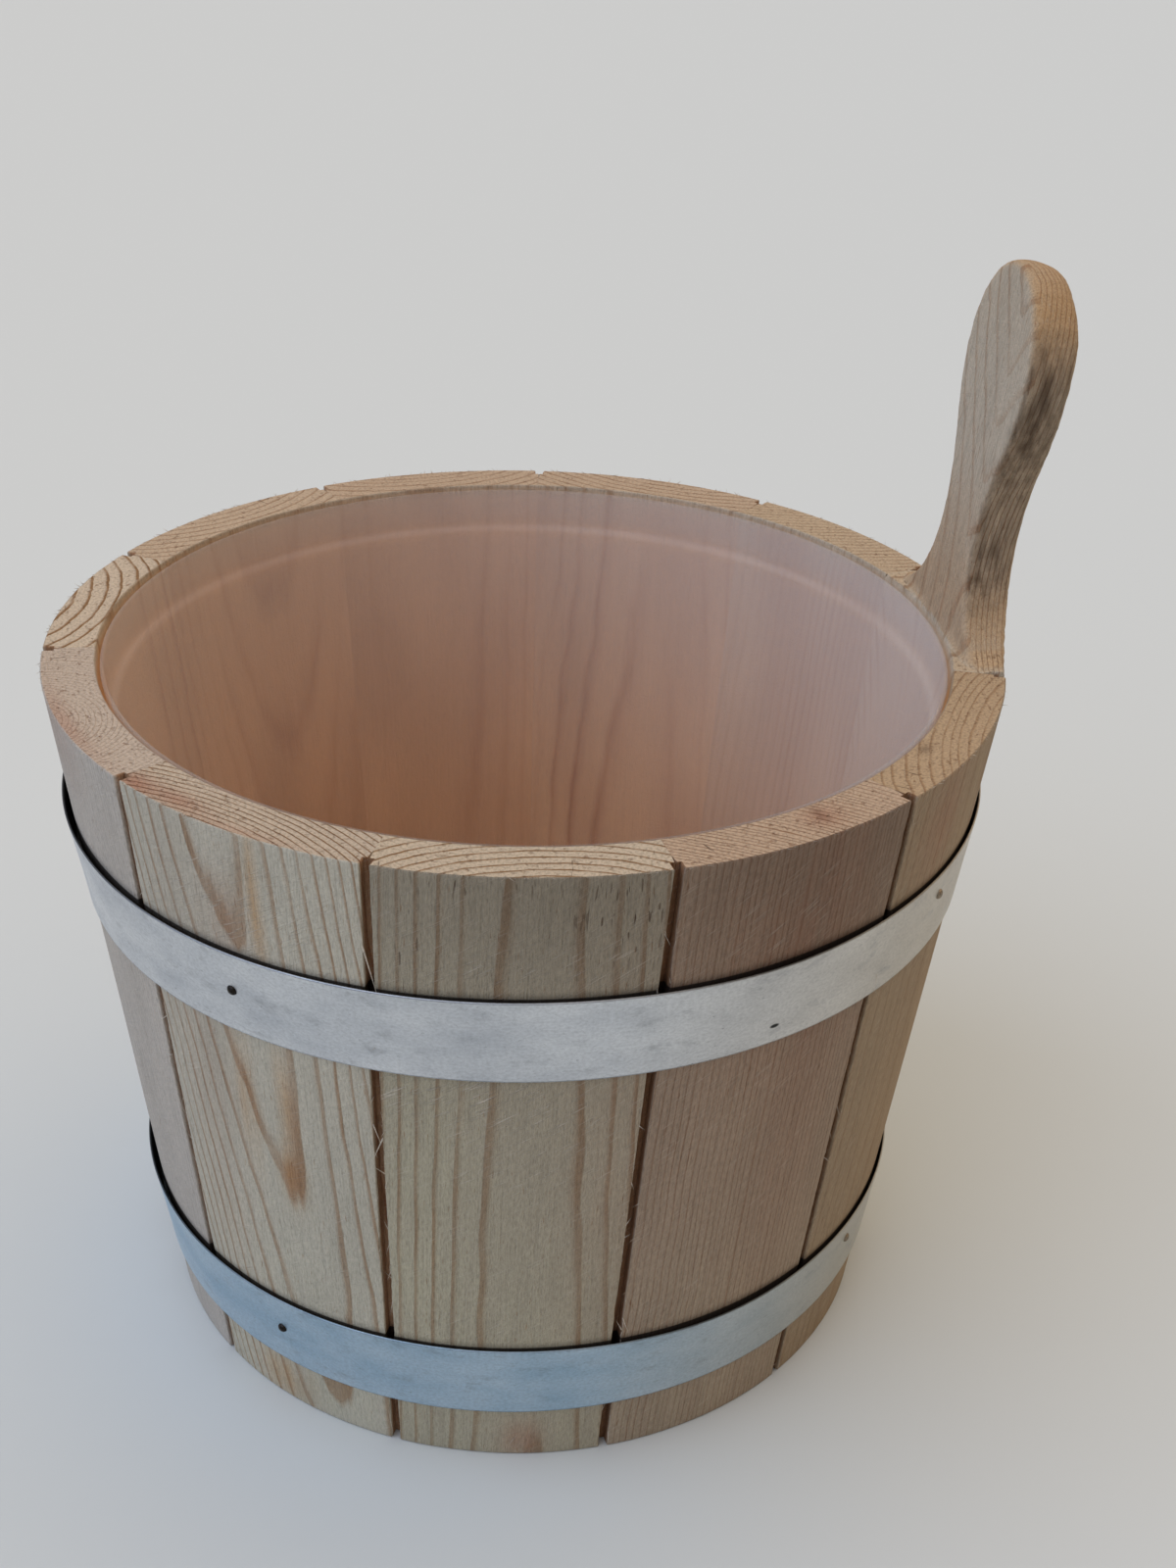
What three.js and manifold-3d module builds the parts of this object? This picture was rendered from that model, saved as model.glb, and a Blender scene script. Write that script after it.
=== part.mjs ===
// A coopered sauna bucket: tapered pine staves glued round a grooved-in bottom, two riveted steel hoops
// nailed to the staves, one long stave that rises into a paddle handle, and a loose plastic liner.
// Millimetres, +Z up, standing on the floor. The handle is on the +X side and the liner lifts straight out.
import * as THREE from "three";
import { mergeVertices } from "three/addons/utils/BufferGeometryUtils.js";
import Module from "manifold-3d";

const wasm = await Module();
wasm.setup();

// Tub
const RIM_RADIUS = 130; // outside of the staves at the rim
const FOOT_RADIUS = 106; // outside of the staves at the floor
const TUB_HEIGHT = 200;
const WALL = 14; // thickness of the staves, measured level
const JOINT_GAP = 0.3; // glue line between two staves
const GROOVE_WIDTH = 3; // groove along the outside of each joint
const GROOVE_DEPTH = 4.5;

// Widths of the staves along the outside, at the rim and at the foot. The plain ones run counter-clockwise
// from the handle stave. They are shares of the circle, so the ring always closes.
const HANDLE_STAVE = { rim: 76, foot: 62 };
const PLAIN_STAVES = [
  { rim: 70, foot: 57 },
  { rim: 77, foot: 63 },
  { rim: 74, foot: 60 },
  { rim: 80, foot: 65 },
  { rim: 69, foot: 54 },
  { rim: 80, foot: 62 },
  { rim: 73, foot: 61 },
  { rim: 71, foot: 58 },
  { rim: 68, foot: 59 },
  { rim: 79, foot: 65 },
];

// Handle, cut from the top of its stave
const HANDLE_RISE = 101; // above the rim
const HANDLE_LEAN = 0.11; // outward run for each millimetre of its height
const HANDLE_FRONT_EDGE = 1.5; // rounding of the edges that face the tub's axis
const HANDLE_BACK_EDGE = 3; // rounding of the outer edges
const NECK_WIDTH = 27;
const NECK_RISE = 30; // the narrowest place, above the rim
const HEAD_WIDTH = 48;
const HEAD_RISE = 74; // the widest place, above the rim
const ROOT_DEPTH = 10; // how far the handle's blank runs down inside its stave

// Bottom, a disc of edge-glued boards held in a groove near the foot of the staves
const BOARD_COUNT = 3;
const BOARD_THICKNESS = 12;
const BOARD_LIFT = 14; // floor to the underside of the boards
const CROZE_DEPTH = 4; // depth of the groove that holds the boards

// Hoops, each a strip of steel bent round until its ends lap
const HOOP_WIDTH = 25;
const HOOP_THICKNESS = 0.6;
const HOOP_STANDOFF = 0.9; // how far a hoop's upper edge stands off the staves
const UPPER_HOOP_DROP = 35; // rim to the upper edge of the upper hoop
const LOWER_HOOP_LIFT = 19; // floor to the lower edge of the lower hoop
const LAP_LENGTH = 36;
const JOGGLE_LENGTH = 10; // stretch over which the strip steps out over its own end
const LAPPED_STAVE = 3; // the plain stave that the lap lies on
const HOOP_RISE = 4; // how much higher a hoop lies at the handle than opposite it

// Fasteners
const RIVET_SPACING = 18;
const RIVET_RADIUS = 1.3;
const RIVET_HEAD_RADIUS = 2.6;
const RIVET_HEAD_HEIGHT = 1.1;
const NAIL_RADIUS = 0.7;
const NAIL_HEAD_RADIUS = 1.4;
const NAIL_HEAD_HEIGHT = 0.9;
const NAIL_POINT = 2; // length of the tapered point
const NAIL_COVER = 3; // wood left behind the point
// Each nail's plain stave, its place across that stave, and how far it sits above the hoop's middle.
const NAILS = [
  { stave: 2, across: 0.2, above: 0 },
  { stave: 4, across: 0.7, above: 0 },
  { stave: 7, across: 0.47, above: 1 },
  { stave: 10, across: 0.36, above: 5 },
];

// Liner, a thin moulded tub
const LINER_WALL = 1.2;
const LINER_CLEARANCE = 0.8; // round the liner's collar
const LINER_DROP = 1; // rim to the liner's edge
const LINER_COLLAR = 11; // height of the wider collar below the edge
const LINER_STEP = 1.2; // how far the wall steps in below the collar
const LINER_CORNER = 9; // radius between wall and floor

const FIT = 0.3; // gap between pieces that touch
const HAIR = 0.05; // how far the handle's root lies under the faces of its stave
const SWELL_PULL = 0.4; // how long the S-curve from neck to head stays upright at its ends
const RING_SEGMENTS = 88;
const ROUND_SEGMENTS = 12;
const CURVE_SEGMENTS = 8;

const LEAN = (RIM_RADIUS - FOOT_RADIUS) / TUB_HEIGHT; // outward run of the wall for each millimetre of height
const LEAN_ANGLE = Math.atan(LEAN);
const outside = (z) => FOOT_RADIUS + LEAN * z;
const inside = (z) => outside(z) - WALL;
const BOARD_TOP = BOARD_LIFT + BOARD_THICKNESS;
const CROZE_RADIUS = inside(BOARD_LIFT + BOARD_THICKNESS / 2) + CROZE_DEPTH;
// The handle leans out past the rim, so the middle of the footprint lies this far from the tub's axis.
const AXIS_OFFSET = (HANDLE_LEAN * HANDLE_RISE) / 2;

const pine = new THREE.MeshStandardMaterial({ color: 0xc9b28f, roughness: 0.75, metalness: 0 });
const boardPine = new THREE.MeshStandardMaterial({ color: 0xc2a880, roughness: 0.8, metalness: 0 });
const hoopSteel = new THREE.MeshStandardMaterial({ color: 0xb4b8bc, roughness: 0.42, metalness: 1 });
const rivetSteel = new THREE.MeshStandardMaterial({ color: 0x9ea2a6, roughness: 0.4, metalness: 1 });
const nailSteel = new THREE.MeshStandardMaterial({ color: 0x35332f, roughness: 0.3, metalness: 1 });
const milkyPlastic = new THREE.MeshStandardMaterial({
  color: 0xe6e2e0,
  roughness: 0.25,
  metalness: 0,
  transparent: true,
  opacity: 0.3,
});

// Solids and booleans

function solidOf(geometry) {
  const bare = new THREE.BufferGeometry().setAttribute("position", geometry.getAttribute("position"));
  bare.setIndex(geometry.getIndex());
  const merged = mergeVertices(bare);
  return new wasm.Manifold(
    new wasm.Mesh({
      numProp: 3,
      vertProperties: new Float32Array(merged.getAttribute("position").array),
      triVerts: new Uint32Array(merged.getIndex().array),
    }),
  );
}

function cutAway(solid, cuts) {
  return cuts.reduce((left, cut) => left.subtract(cut), solid);
}

function meshOf(name, solid, material) {
  const { vertProperties, triVerts } = solid.getMesh();
  const geometry = new THREE.BufferGeometry();
  geometry.setAttribute("position", new THREE.BufferAttribute(vertProperties, 3));
  geometry.setIndex(new THREE.BufferAttribute(triVerts, 1));
  geometry.computeVertexNormals();
  return named(name, geometry, material);
}

function named(name, geometry, material) {
  const mesh = new THREE.Mesh(geometry, material);
  mesh.name = name;
  return mesh;
}

// A body turned about the Z axis from [radius, height] points.
function turned(points, segments) {
  const profile = points.map(([r, z]) => new THREE.Vector2(r, z));
  return new THREE.LatheGeometry(profile, segments).rotateX(Math.PI / 2);
}

// A body turned about the X axis from [radius, distance out] points, for fasteners.
function turnedOutwards(points) {
  return turned(points, ROUND_SEGMENTS).rotateY(Math.PI / 2);
}

// The place on the outside of the wall at an angle and a height: local X points out, local Z up the slope.
function wallPlace(angle, z) {
  const place = new THREE.Matrix4().makeRotationZ(angle);
  place.multiply(new THREE.Matrix4().makeTranslation(outside(z), 0, z));
  return place.multiply(new THREE.Matrix4().makeRotationY(LEAN_ANGLE));
}

function fastened(mesh, angle, z) {
  const place = new THREE.Group();
  place.applyMatrix4(wallPlace(angle, z));
  place.add(mesh);
  return place;
}

// Staves

// The joints round the tub at one level, counter-clockwise from the one that starts the handle stave.
// The handle stave is centred on +X, and the last joint closes the circle.
function jointAngles(level) {
  const widths = [HANDLE_STAVE, ...PLAIN_STAVES].map((stave) => stave[level]);
  const total = widths.reduce((sum, width) => sum + width, 0);
  const share = (width) => (2 * Math.PI * width) / total;
  const first = -share(widths[0]) / 2;
  return widths.reduce((angles, width) => [...angles, angles.at(-1) + share(width)], [first]);
}

const FOOT_ANGLES = jointAngles("foot");
const JOINTS = jointAngles("rim").map((rim, index) => ({ rim, foot: FOOT_ANGLES[index] }));
const STAVES = JOINTS.slice(1).map((end, index) => ({ start: JOINTS[index], end }));
const jointAngle = (joint, z) => joint.foot + ((joint.rim - joint.foot) * z) / TUB_HEIGHT;
// The angle at a place across a stave, from 0 at its first joint to 1 at its last.
const acrossStave = ({ start, end }, across, z) =>
  jointAngle(start, z) + (jointAngle(end, z) - jointAngle(start, z)) * across;
const staveName = (number) => (number ? `stave_${String(number).padStart(2, "0")}` : "handle_stave");

// The whole turned wall, with the groove that takes the bottom boards.
function tubWall() {
  const low = BOARD_LIFT - FIT;
  const high = BOARD_TOP + FIT;
  return solidOf(
    turned(
      [
        [outside(0), 0],
        [outside(TUB_HEIGHT), TUB_HEIGHT],
        [inside(TUB_HEIGHT), TUB_HEIGHT],
        [inside(high), high],
        [CROZE_RADIUS, high],
        [CROZE_RADIUS, low],
        [inside(low), low],
        [inside(0), 0],
        [outside(0), 0],
      ],
      RING_SEGMENTS,
    ),
  );
}

// A joint's lean within the wall's surface, because the staves don't all taper alike.
function jointLean({ rim, foot }) {
  const drift = outside(TUB_HEIGHT / 2) * (rim - foot);
  return -Math.atan(drift / Math.hypot(TUB_HEIGHT, LEAN * TUB_HEIGHT));
}

// All space on one side of a joint, less half the joint gap: side 1 is counter-clockwise of it, -1 clockwise.
function besideJoint(joint, side, gap) {
  const reach = 4 * (RIM_RADIUS + TUB_HEIGHT + HANDLE_RISE);
  const body = new THREE.BoxGeometry(reach, reach, reach).translate(0, (side * (reach + gap)) / 2, 0);
  body.rotateX(jointLean(joint)).rotateZ(jointAngle(joint, TUB_HEIGHT / 2));
  return solidOf(body.translate(0, 0, TUB_HEIGHT / 2));
}

function betweenJoints({ start, end }, gap) {
  return besideJoint(start, 1, gap).intersect(besideJoint(end, -1, gap));
}

// The cutter for the groove along the outside of a joint.
function jointGroove(joint) {
  const body = new THREE.BoxGeometry(2 * GROOVE_DEPTH, GROOVE_WIDTH, 2 * TUB_HEIGHT);
  body.rotateX(jointLean(joint));
  const middle = TUB_HEIGHT / 2;
  return solidOf(body.applyMatrix4(wallPlace(jointAngle(joint, middle), middle)));
}

// The handle's outline: shoulders that sweep in from the rim to the neck, then a round head.
function handleOutline() {
  const neck = NECK_WIDTH / 2;
  const head = HEAD_WIDTH / 2;
  const foot = (RIM_RADIUS * (STAVES[0].end.rim - STAVES[0].start.rim)) / 2;
  const swell = (HEAD_RISE - NECK_RISE) * SWELL_PULL;
  const outline = new THREE.Shape();
  outline.moveTo(-foot, -ROOT_DEPTH);
  outline.lineTo(foot, -ROOT_DEPTH);
  outline.lineTo(foot, 0);
  outline.absellipse(foot, NECK_RISE, foot - neck, NECK_RISE, -Math.PI / 2, -Math.PI, true);
  outline.bezierCurveTo(neck, NECK_RISE + swell, head, HEAD_RISE - swell, head, HEAD_RISE);
  outline.absellipse(0, HEAD_RISE, head, HANDLE_RISE - HEAD_RISE, 0, Math.PI, false);
  outline.bezierCurveTo(-head, HEAD_RISE - swell, -neck, NECK_RISE + swell, -neck, NECK_RISE);
  outline.absellipse(-foot, NECK_RISE, foot - neck, NECK_RISE, 0, -Math.PI / 2, true);
  outline.lineTo(-foot, -ROOT_DEPTH);
  return outline;
}

// A leaning plank of the handle's outline with rounded edges, its faces at two distances out from the bore.
function handlePlank(front, back, edge) {
  const plank = new THREE.ExtrudeGeometry(handleOutline(), {
    depth: back - front - 2 * edge,
    bevelEnabled: true,
    bevelThickness: edge,
    bevelSize: edge,
    bevelOffset: -edge,
    bevelSegments: 3,
    curveSegments: CURVE_SEGMENTS,
  });
  // The outline's own X, Y and depth become Y, Z and X, and the plank then leans out.
  plank.applyMatrix4(new THREE.Matrix4().set(0, 0, 1, front + edge, 1, 0, 0, 0, 0, 1, 0, 0, 0, 0, 0, 1));
  plank.applyMatrix4(new THREE.Matrix4().set(1, 0, HANDLE_LEAN, 0, 0, 1, 0, 0, 0, 0, 1, 0, 0, 0, 0, 1));
  return solidOf(plank.translate(inside(TUB_HEIGHT), 0, TUB_HEIGHT));
}

// The handle with its root. Its flat front touches the bore along the stave's middle and its back is turned
// with the tub, a hair under the wall's own surface so that the root lies inside the stave.
function handle() {
  const spare = WALL + 2 * HANDLE_BACK_EDGE; // each plank runs on past the face that the other one cuts
  const front = handlePlank(HAIR, WALL + spare, HANDLE_FRONT_EDGE);
  const back = handlePlank(-spare, WALL - HAIR, HANDLE_BACK_EDGE);
  const top = TUB_HEIGHT + 2 * HANDLE_RISE;
  const turnedBack = turned(
    [
      [0, 0],
      [outside(0) - HAIR, 0],
      [outside(top) - HAIR, top],
      [0, top],
    ],
    RING_SEGMENTS,
  );
  const stave = betweenJoints(STAVES[0], JOINT_GAP + 2 * HAIR);
  return front.intersect(back).intersect(solidOf(turnedBack)).intersect(stave);
}

// Nail holes through the hoop and into the stave.
function nailHoles(number) {
  const nailed = NAILS.filter((at) => at.stave === number);
  return nailed.flatMap((at) => HOOPS.map((place) => nailHole(place, at)));
}

function staves() {
  const wall = tubWall();
  return STAVES.map((stave, number) => {
    const plain = wall.intersect(betweenJoints(stave, JOINT_GAP));
    const blank = number === 0 ? plain.add(handle()) : plain;
    const cuts = [jointGroove(stave.start), jointGroove(stave.end), ...nailHoles(number)];
    return meshOf(staveName(number), cutAway(blank, cuts), pine);
  });
}

// Bottom

function bottomBoards() {
  const radius = CROZE_RADIUS - FIT;
  const disc = solidOf(
    turned(
      [
        [0, BOARD_LIFT],
        [radius, BOARD_LIFT],
        [radius, BOARD_TOP],
        [0, BOARD_TOP],
      ],
      RING_SEGMENTS,
    ),
  );
  const pitch = (2 * radius) / BOARD_COUNT;
  return Array.from({ length: BOARD_COUNT }, (_, index) => {
    const strip = new THREE.BoxGeometry(3 * radius, pitch - FIT, 3 * BOARD_TOP);
    strip.translate(0, (index + 0.5) * pitch - radius, 0);
    return meshOf(`bottom_board_${index + 1}`, disc.intersect(solidOf(strip)), boardPine);
  });
}

// Hoops

const HOOPS = [
  { name: "upper_hoop", bottom: TUB_HEIGHT - UPPER_HOOP_DROP - HOOP_WIDTH },
  { name: "lower_hoop", bottom: LOWER_HOOP_LIFT },
];
const hoopRise = (angle) => (HOOP_RISE / 2) * Math.cos(angle);
const hoopMiddle = (place, angle) => place.bottom + HOOP_WIDTH / 2 + hoopRise(angle);
// The inner face of a hoop, measured out from the staves, at a height above the hoop's lower edge.
const hoopInner = (up) => FIT + ((HOOP_STANDOFF - FIT) * up) / HOOP_WIDTH;

const LAP_ANGLE = acrossStave(STAVES[LAPPED_STAVE], 0.5, TUB_HEIGHT / 2);

// The strip seen from above: once round, then out over its own end for the length of the lap.
function hoopOutline(inner) {
  const lap = LAP_LENGTH / inner;
  const joggle = JOGGLE_LENGTH / inner;
  const start = LAP_ANGLE - lap / 2;
  const steppedOut = HOOP_THICKNESS + FIT;
  const arc = (from, to, radius, steps) =>
    Array.from({ length: steps + 1 }, (_, step) => {
      const angle = start + from + ((to - from) * step) / steps;
      return new THREE.Vector2(radius * Math.cos(angle), radius * Math.sin(angle));
    });
  // One face of the strip: round to just short of its own end, then stepped out over the lap.
  const face = (radius) => [
    ...arc(0, 2 * Math.PI - 2 * joggle, radius, RING_SEGMENTS),
    ...arc(2 * Math.PI - joggle, 2 * Math.PI + lap, radius + steppedOut, CURVE_SEGMENTS),
  ];
  return new THREE.Shape([...face(inner + HOOP_THICKNESS), ...face(inner).reverse()]);
}

// The strip bent to the wall: it leans with the staves, a little more than they do, and lies slightly askew.
function hoopStrip(place) {
  const inner = outside(place.bottom);
  const strip = new THREE.ExtrudeGeometry(hoopOutline(inner), { depth: HOOP_WIDTH, bevelEnabled: false });
  const points = strip.getAttribute("position");
  const point = new THREE.Vector3();
  for (let i = 0; i < points.count; i += 1) {
    point.fromBufferAttribute(points, i);
    const angle = Math.atan2(point.y, point.x);
    const up = point.z;
    const z = place.bottom + up + hoopRise(angle);
    const radius = outside(z) + hoopInner(up) + Math.hypot(point.x, point.y) - inner;
    points.setXYZ(i, radius * Math.cos(angle), radius * Math.sin(angle), z);
  }
  return solidOf(strip);
}

function hoop(place) {
  const nailed = NAILS.map((at) => nailHole(place, at));
  const riveted = rivetAngles(place).map((angle) => rivetHole(place, angle));
  return meshOf(place.name, cutAway(hoopStrip(place), [...nailed, ...riveted]), hoopSteel);
}

// Fasteners

const CLEAR_OF_HOOP = HOOP_STANDOFF + 4 * (HOOP_THICKNESS + FIT); // distance out that clears a lap

// A fastener's domed head as [radius, distance out] points, from its rim to its crown.
function dome(radius, height, base) {
  const steps = 3;
  const shoulder = Array.from({ length: steps }, (_, step) => {
    const angle = ((Math.PI / 2) * step) / steps;
    return [radius * Math.cos(angle), base + height * Math.sin(angle)];
  });
  return [...shoulder, [0, base + height]];
}

function rivetAngles(place) {
  const half = RIVET_SPACING / 2 / outside(hoopMiddle(place, LAP_ANGLE));
  return [LAP_ANGLE - half, LAP_ANGLE + half];
}

function holeAt(radius, from, to, angle, z) {
  const body = turnedOutwards([
    [0, from],
    [radius, from],
    [radius, to],
    [0, to],
  ]);
  return solidOf(body.applyMatrix4(wallPlace(angle, z)));
}

function rivetHole(place, angle) {
  return holeAt(RIVET_RADIUS + FIT, -FIT, CLEAR_OF_HOOP, angle, hoopMiddle(place, angle));
}

function rivet(place, angle, number) {
  const z = hoopMiddle(place, angle);
  const tail = hoopInner(HOOP_WIDTH / 2);
  const seat = tail + 2 * HOOP_THICKNESS + 2 * FIT;
  const body = turnedOutwards([
    [0, tail],
    [RIVET_RADIUS, tail],
    [RIVET_RADIUS, seat],
    ...dome(RIVET_HEAD_RADIUS, RIVET_HEAD_HEIGHT, seat),
  ]);
  return fastened(named(`${place.name}_rivet_${number}`, body, rivetSteel), angle, z);
}

const NAIL_DEPTH = WALL - NAIL_COVER;

function nailSpot(place, { stave, across, above }) {
  const angle = acrossStave(STAVES[stave], across, place.bottom);
  return { angle, z: hoopMiddle(place, angle) + above };
}

function nailHole(place, at) {
  const { angle, z } = nailSpot(place, at);
  return holeAt(NAIL_RADIUS + FIT, -NAIL_DEPTH - FIT, CLEAR_OF_HOOP, angle, z);
}

function nail(place, at, number) {
  const { angle, z } = nailSpot(place, at);
  const seat = hoopInner(HOOP_WIDTH / 2 + at.above) + HOOP_THICKNESS + FIT / 2;
  const body = turnedOutwards([
    [0, -NAIL_DEPTH],
    [NAIL_RADIUS, NAIL_POINT - NAIL_DEPTH],
    [NAIL_RADIUS, seat],
    ...dome(NAIL_HEAD_RADIUS, NAIL_HEAD_HEIGHT, seat),
  ]);
  return fastened(named(`${place.name}_nail_${number}`, body, nailSteel), angle, z);
}

// Liner

function liner() {
  const floor = BOARD_TOP + FIT;
  const edge = TUB_HEIGHT - LINER_DROP;
  const shoulder = edge - LINER_COLLAR;
  const collar = (z) => inside(z) - LINER_CLEARANCE;
  const wall = (z) => collar(z) - LINER_STEP;
  const ease = 2 * LINER_STEP; // height of the slope between wall and collar
  const bend = floor + LINER_CORNER;
  // One face of the liner, a depth into its wall, from the middle of the floor to the edge.
  const skin = (depth) => {
    const radius = LINER_CORNER - depth;
    const steps = 4;
    const corner = Array.from({ length: steps + 1 }, (_, step) => {
      const angle = ((Math.PI / 2) * step) / steps;
      return [wall(bend) - LINER_CORNER + radius * Math.sin(angle), bend - radius * Math.cos(angle)];
    });
    return [
      [0, floor + depth],
      ...corner,
      [wall(shoulder - ease) - depth, shoulder - ease],
      [collar(shoulder) - depth, shoulder],
      [collar(edge) - depth, edge],
    ];
  };
  const profile = [...skin(0), ...skin(LINER_WALL).reverse()];
  return named("liner", turned(profile, RING_SEGMENTS), milkyPlastic);
}

// Assembly

const bucket = new THREE.Group();
bucket.position.x = -AXIS_OFFSET;
bucket.add(...staves(), ...bottomBoards(), ...HOOPS.map(hoop), liner());
HOOPS.forEach((place) => {
  rivetAngles(place).forEach((angle, index) => bucket.add(rivet(place, angle, index + 1)));
  NAILS.forEach((at, index) => bucket.add(nail(place, at, index + 1)));
});

const part = new THREE.Group();
part.add(bucket);

export default part;
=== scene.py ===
"""A coopered bucket: pine staves in two steel hoops, one stave rising to a handle, and a plastic liner."""

import math
from functools import partial

import bpy
import numpy as np
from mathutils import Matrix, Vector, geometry, noise


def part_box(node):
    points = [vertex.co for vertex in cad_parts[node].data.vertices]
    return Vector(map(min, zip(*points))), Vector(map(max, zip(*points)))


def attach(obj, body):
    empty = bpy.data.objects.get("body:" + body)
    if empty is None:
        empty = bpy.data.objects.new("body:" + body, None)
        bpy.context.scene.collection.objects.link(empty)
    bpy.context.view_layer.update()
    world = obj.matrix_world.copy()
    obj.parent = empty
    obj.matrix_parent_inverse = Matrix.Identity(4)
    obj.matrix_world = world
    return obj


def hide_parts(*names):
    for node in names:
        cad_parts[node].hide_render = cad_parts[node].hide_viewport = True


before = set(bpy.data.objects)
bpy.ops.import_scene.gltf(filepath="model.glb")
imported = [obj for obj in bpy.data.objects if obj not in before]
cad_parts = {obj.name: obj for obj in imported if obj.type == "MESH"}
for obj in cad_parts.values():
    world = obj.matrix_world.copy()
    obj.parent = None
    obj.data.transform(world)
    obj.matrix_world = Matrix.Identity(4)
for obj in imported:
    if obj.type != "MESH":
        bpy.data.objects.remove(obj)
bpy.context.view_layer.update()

MM = 0.001
FULL_TURN = 2 * math.pi
QUARTER_BENDS = np.radians([0, 30, 60, 90])

# Sizes of the solids, in millimetres. The tub's axis is upright, and the handle is on its +X side.
AXIS_X = (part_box("liner")[0].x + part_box("liner")[1].x) / 2 / MM
FOOT_RADIUS = 106
LEAN = 0.12
TUB_HEIGHT = 200
WALL = 14
SAWN_GROOVE_DEPTH = 4.5
# The part of the rim and of the foot that each stave takes, from the handle stave on.
RIM_WIDTHS = [76, 70, 77, 74, 80, 69, 80, 73, 71, 68, 79]
FOOT_WIDTHS = [62, 57, 63, 60, 65, 54, 62, 61, 58, 59, 65]
HEAD_MIDDLE = 74
BOARD_COUNT = 3
BOARD_LIFT = 14
BOARD_TOP = 26
CROZE_RADIUS = 98.4
FIT = 0.3
HOOP_WIDTH = 25
HOOP_THICKNESS = 0.6
HOOP_STANDOFF = 0.9
HOOP_RISE = 4
HOOP_BOTTOMS = {"upper_hoop": 140, "lower_hoop": 19}
LAP_LENGTH = 36
JOGGLE_LENGTH = 10
LAPPED_STAVE = 3
RIVET_SPACING = 18
RIVET = {"radius": 1.3, "head": 2.6, "height": 1.1}
NAIL = {"radius": 0.7, "head": 1.4, "height": 0.9}
NAIL_DEPTH = 11
NAIL_POINT = 2
# Each nail's stave, its place across that stave, and how far it sits above the hoop's middle.
NAILS = [(2, 0.2, 0), (4, 0.7, 0), (7, 0.47, 1), (10, 0.36, 5)]
LINER_WALL = 1.2
LINER_CLEARANCE = 0.8
LINER_EDGE = 199
LINER_LIP = 0.6
LINER_SHOULDER = 188
LINER_STEP = 1.2
LINER_CORNER = 9

# How saw and use left the pieces, in millimetres. The staves are glued tight, and torn fibres and dust half
# close the grooves between them. Slivers are counted for each stave.
GLUE_LINE = 0.04
TORN_GROOVE_WIDTH = 2.3
TORN_GROOVE_DEPTH = 3.2
ARRIS = 0.3
END_ROUNDING = 0.5
BOARD_ARRIS = 0.7
RIM_SLIVERS = 34
FOOT_SLIVERS = 10
GROOVE_SLIVERS = 32
COMMON_STAVE_WIDTH = 65
WORN_GRAIN = 0.95
END_SPACING = 1.25
BOARD_SPACING = 3
BRIDGED_STAVE = 9
BRIGHT_NAILED_STAVE = 10
# Where the hammer nicked each hoop, in millimetres along it from its start and in height, and how far.
NICKS = {"upper_hoop": (435, 145.6), "lower_hoop": (120, 40)}
NICK_LENGTH = 1.6
NICK_HEIGHT = 0.75


def outside(z):
    """Radius of the staves' outer face at a height."""
    return FOOT_RADIUS + LEAN * z


def joints(widths):
    """Angles of the joints for widths that share the circle, from the joint that starts the handle stave."""
    shares = FULL_TURN * np.array(widths) / sum(widths)
    return np.concatenate([[0], np.cumsum(shares)]) - shares[0] / 2


RIM_JOINTS = joints(RIM_WIDTHS)
FOOT_JOINTS = joints(FOOT_WIDTHS)


def joint_angle(number, z):
    return FOOT_JOINTS[number] + (RIM_JOINTS[number] - FOOT_JOINTS[number]) * z / TUB_HEIGHT


def stave_angle(number, across, z):
    """Angle at a place across a stave, from 0 at its first joint to 1 at its last."""
    return joint_angle(number, z) * (1 - across) + joint_angle(number + 1, z) * across


LAP_ANGLE = stave_angle(LAPPED_STAVE, 0.5, TUB_HEIGHT / 2)
BRIDGE_ANGLE = stave_angle(BRIDGED_STAVE, 0.5, TUB_HEIGHT / 2)


def hoop_level(hoop_name, up, angle):
    """Height of a place on a hoop, from its lower edge upwards. The hoops sit higher on the handle's side."""
    return HOOP_BOTTOMS[hoop_name] + up + HOOP_RISE / 2 * np.cos(angle)


def around(radius, angle, z):
    """Points of the part's frame, in millimetres, from a radius and angle about the tub's axis."""
    return np.stack(np.broadcast_arrays(AXIS_X + radius * np.cos(angle), radius * np.sin(angle), z), axis=-1)


def polar(points):
    """Radius and angle of points about the tub's axis."""
    x, y = points[:, 0] - AXIS_X, points[:, 1]
    return np.hypot(x, y), np.arctan2(y, x)


def wander(x, y, z):
    """Smooth noise from -1 to 1 at each place."""
    places = np.stack(np.broadcast_arrays(x, y, z), axis=-1)
    flat = [noise.noise(place) for place in places.reshape(-1, 3)]
    return np.array(flat).reshape(places.shape[:-1])


def hill(x, middle, half_width):
    return np.exp(-(((x - middle) / half_width) ** 2))


def spot(x, y, middle_x, middle_y, half_width, half_height):
    """A soft patch: 1 at its middle, and less towards its sides."""
    return hill(x, middle_x, half_width) * hill(y, middle_y, half_height)


def progress(x, start, end):
    """How far x has come from a start to an end, from 0 to 1."""
    return np.clip((x - start) / (end - start), 0, 1)


def eased(step):
    """A step from 0 to 1 that starts and ends softly."""
    return step * step * (3 - 2 * step)


def linear(code):
    """The linear colour of an sRGB hex code."""
    parts = [int(code[i : i + 2], 16) / 255 for i in (1, 3, 5)]
    return tuple(c / 12.92 if c <= 0.04045 else ((c + 0.055) / 1.055) ** 2.4 for c in parts) + (1,)


# Materials


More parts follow.
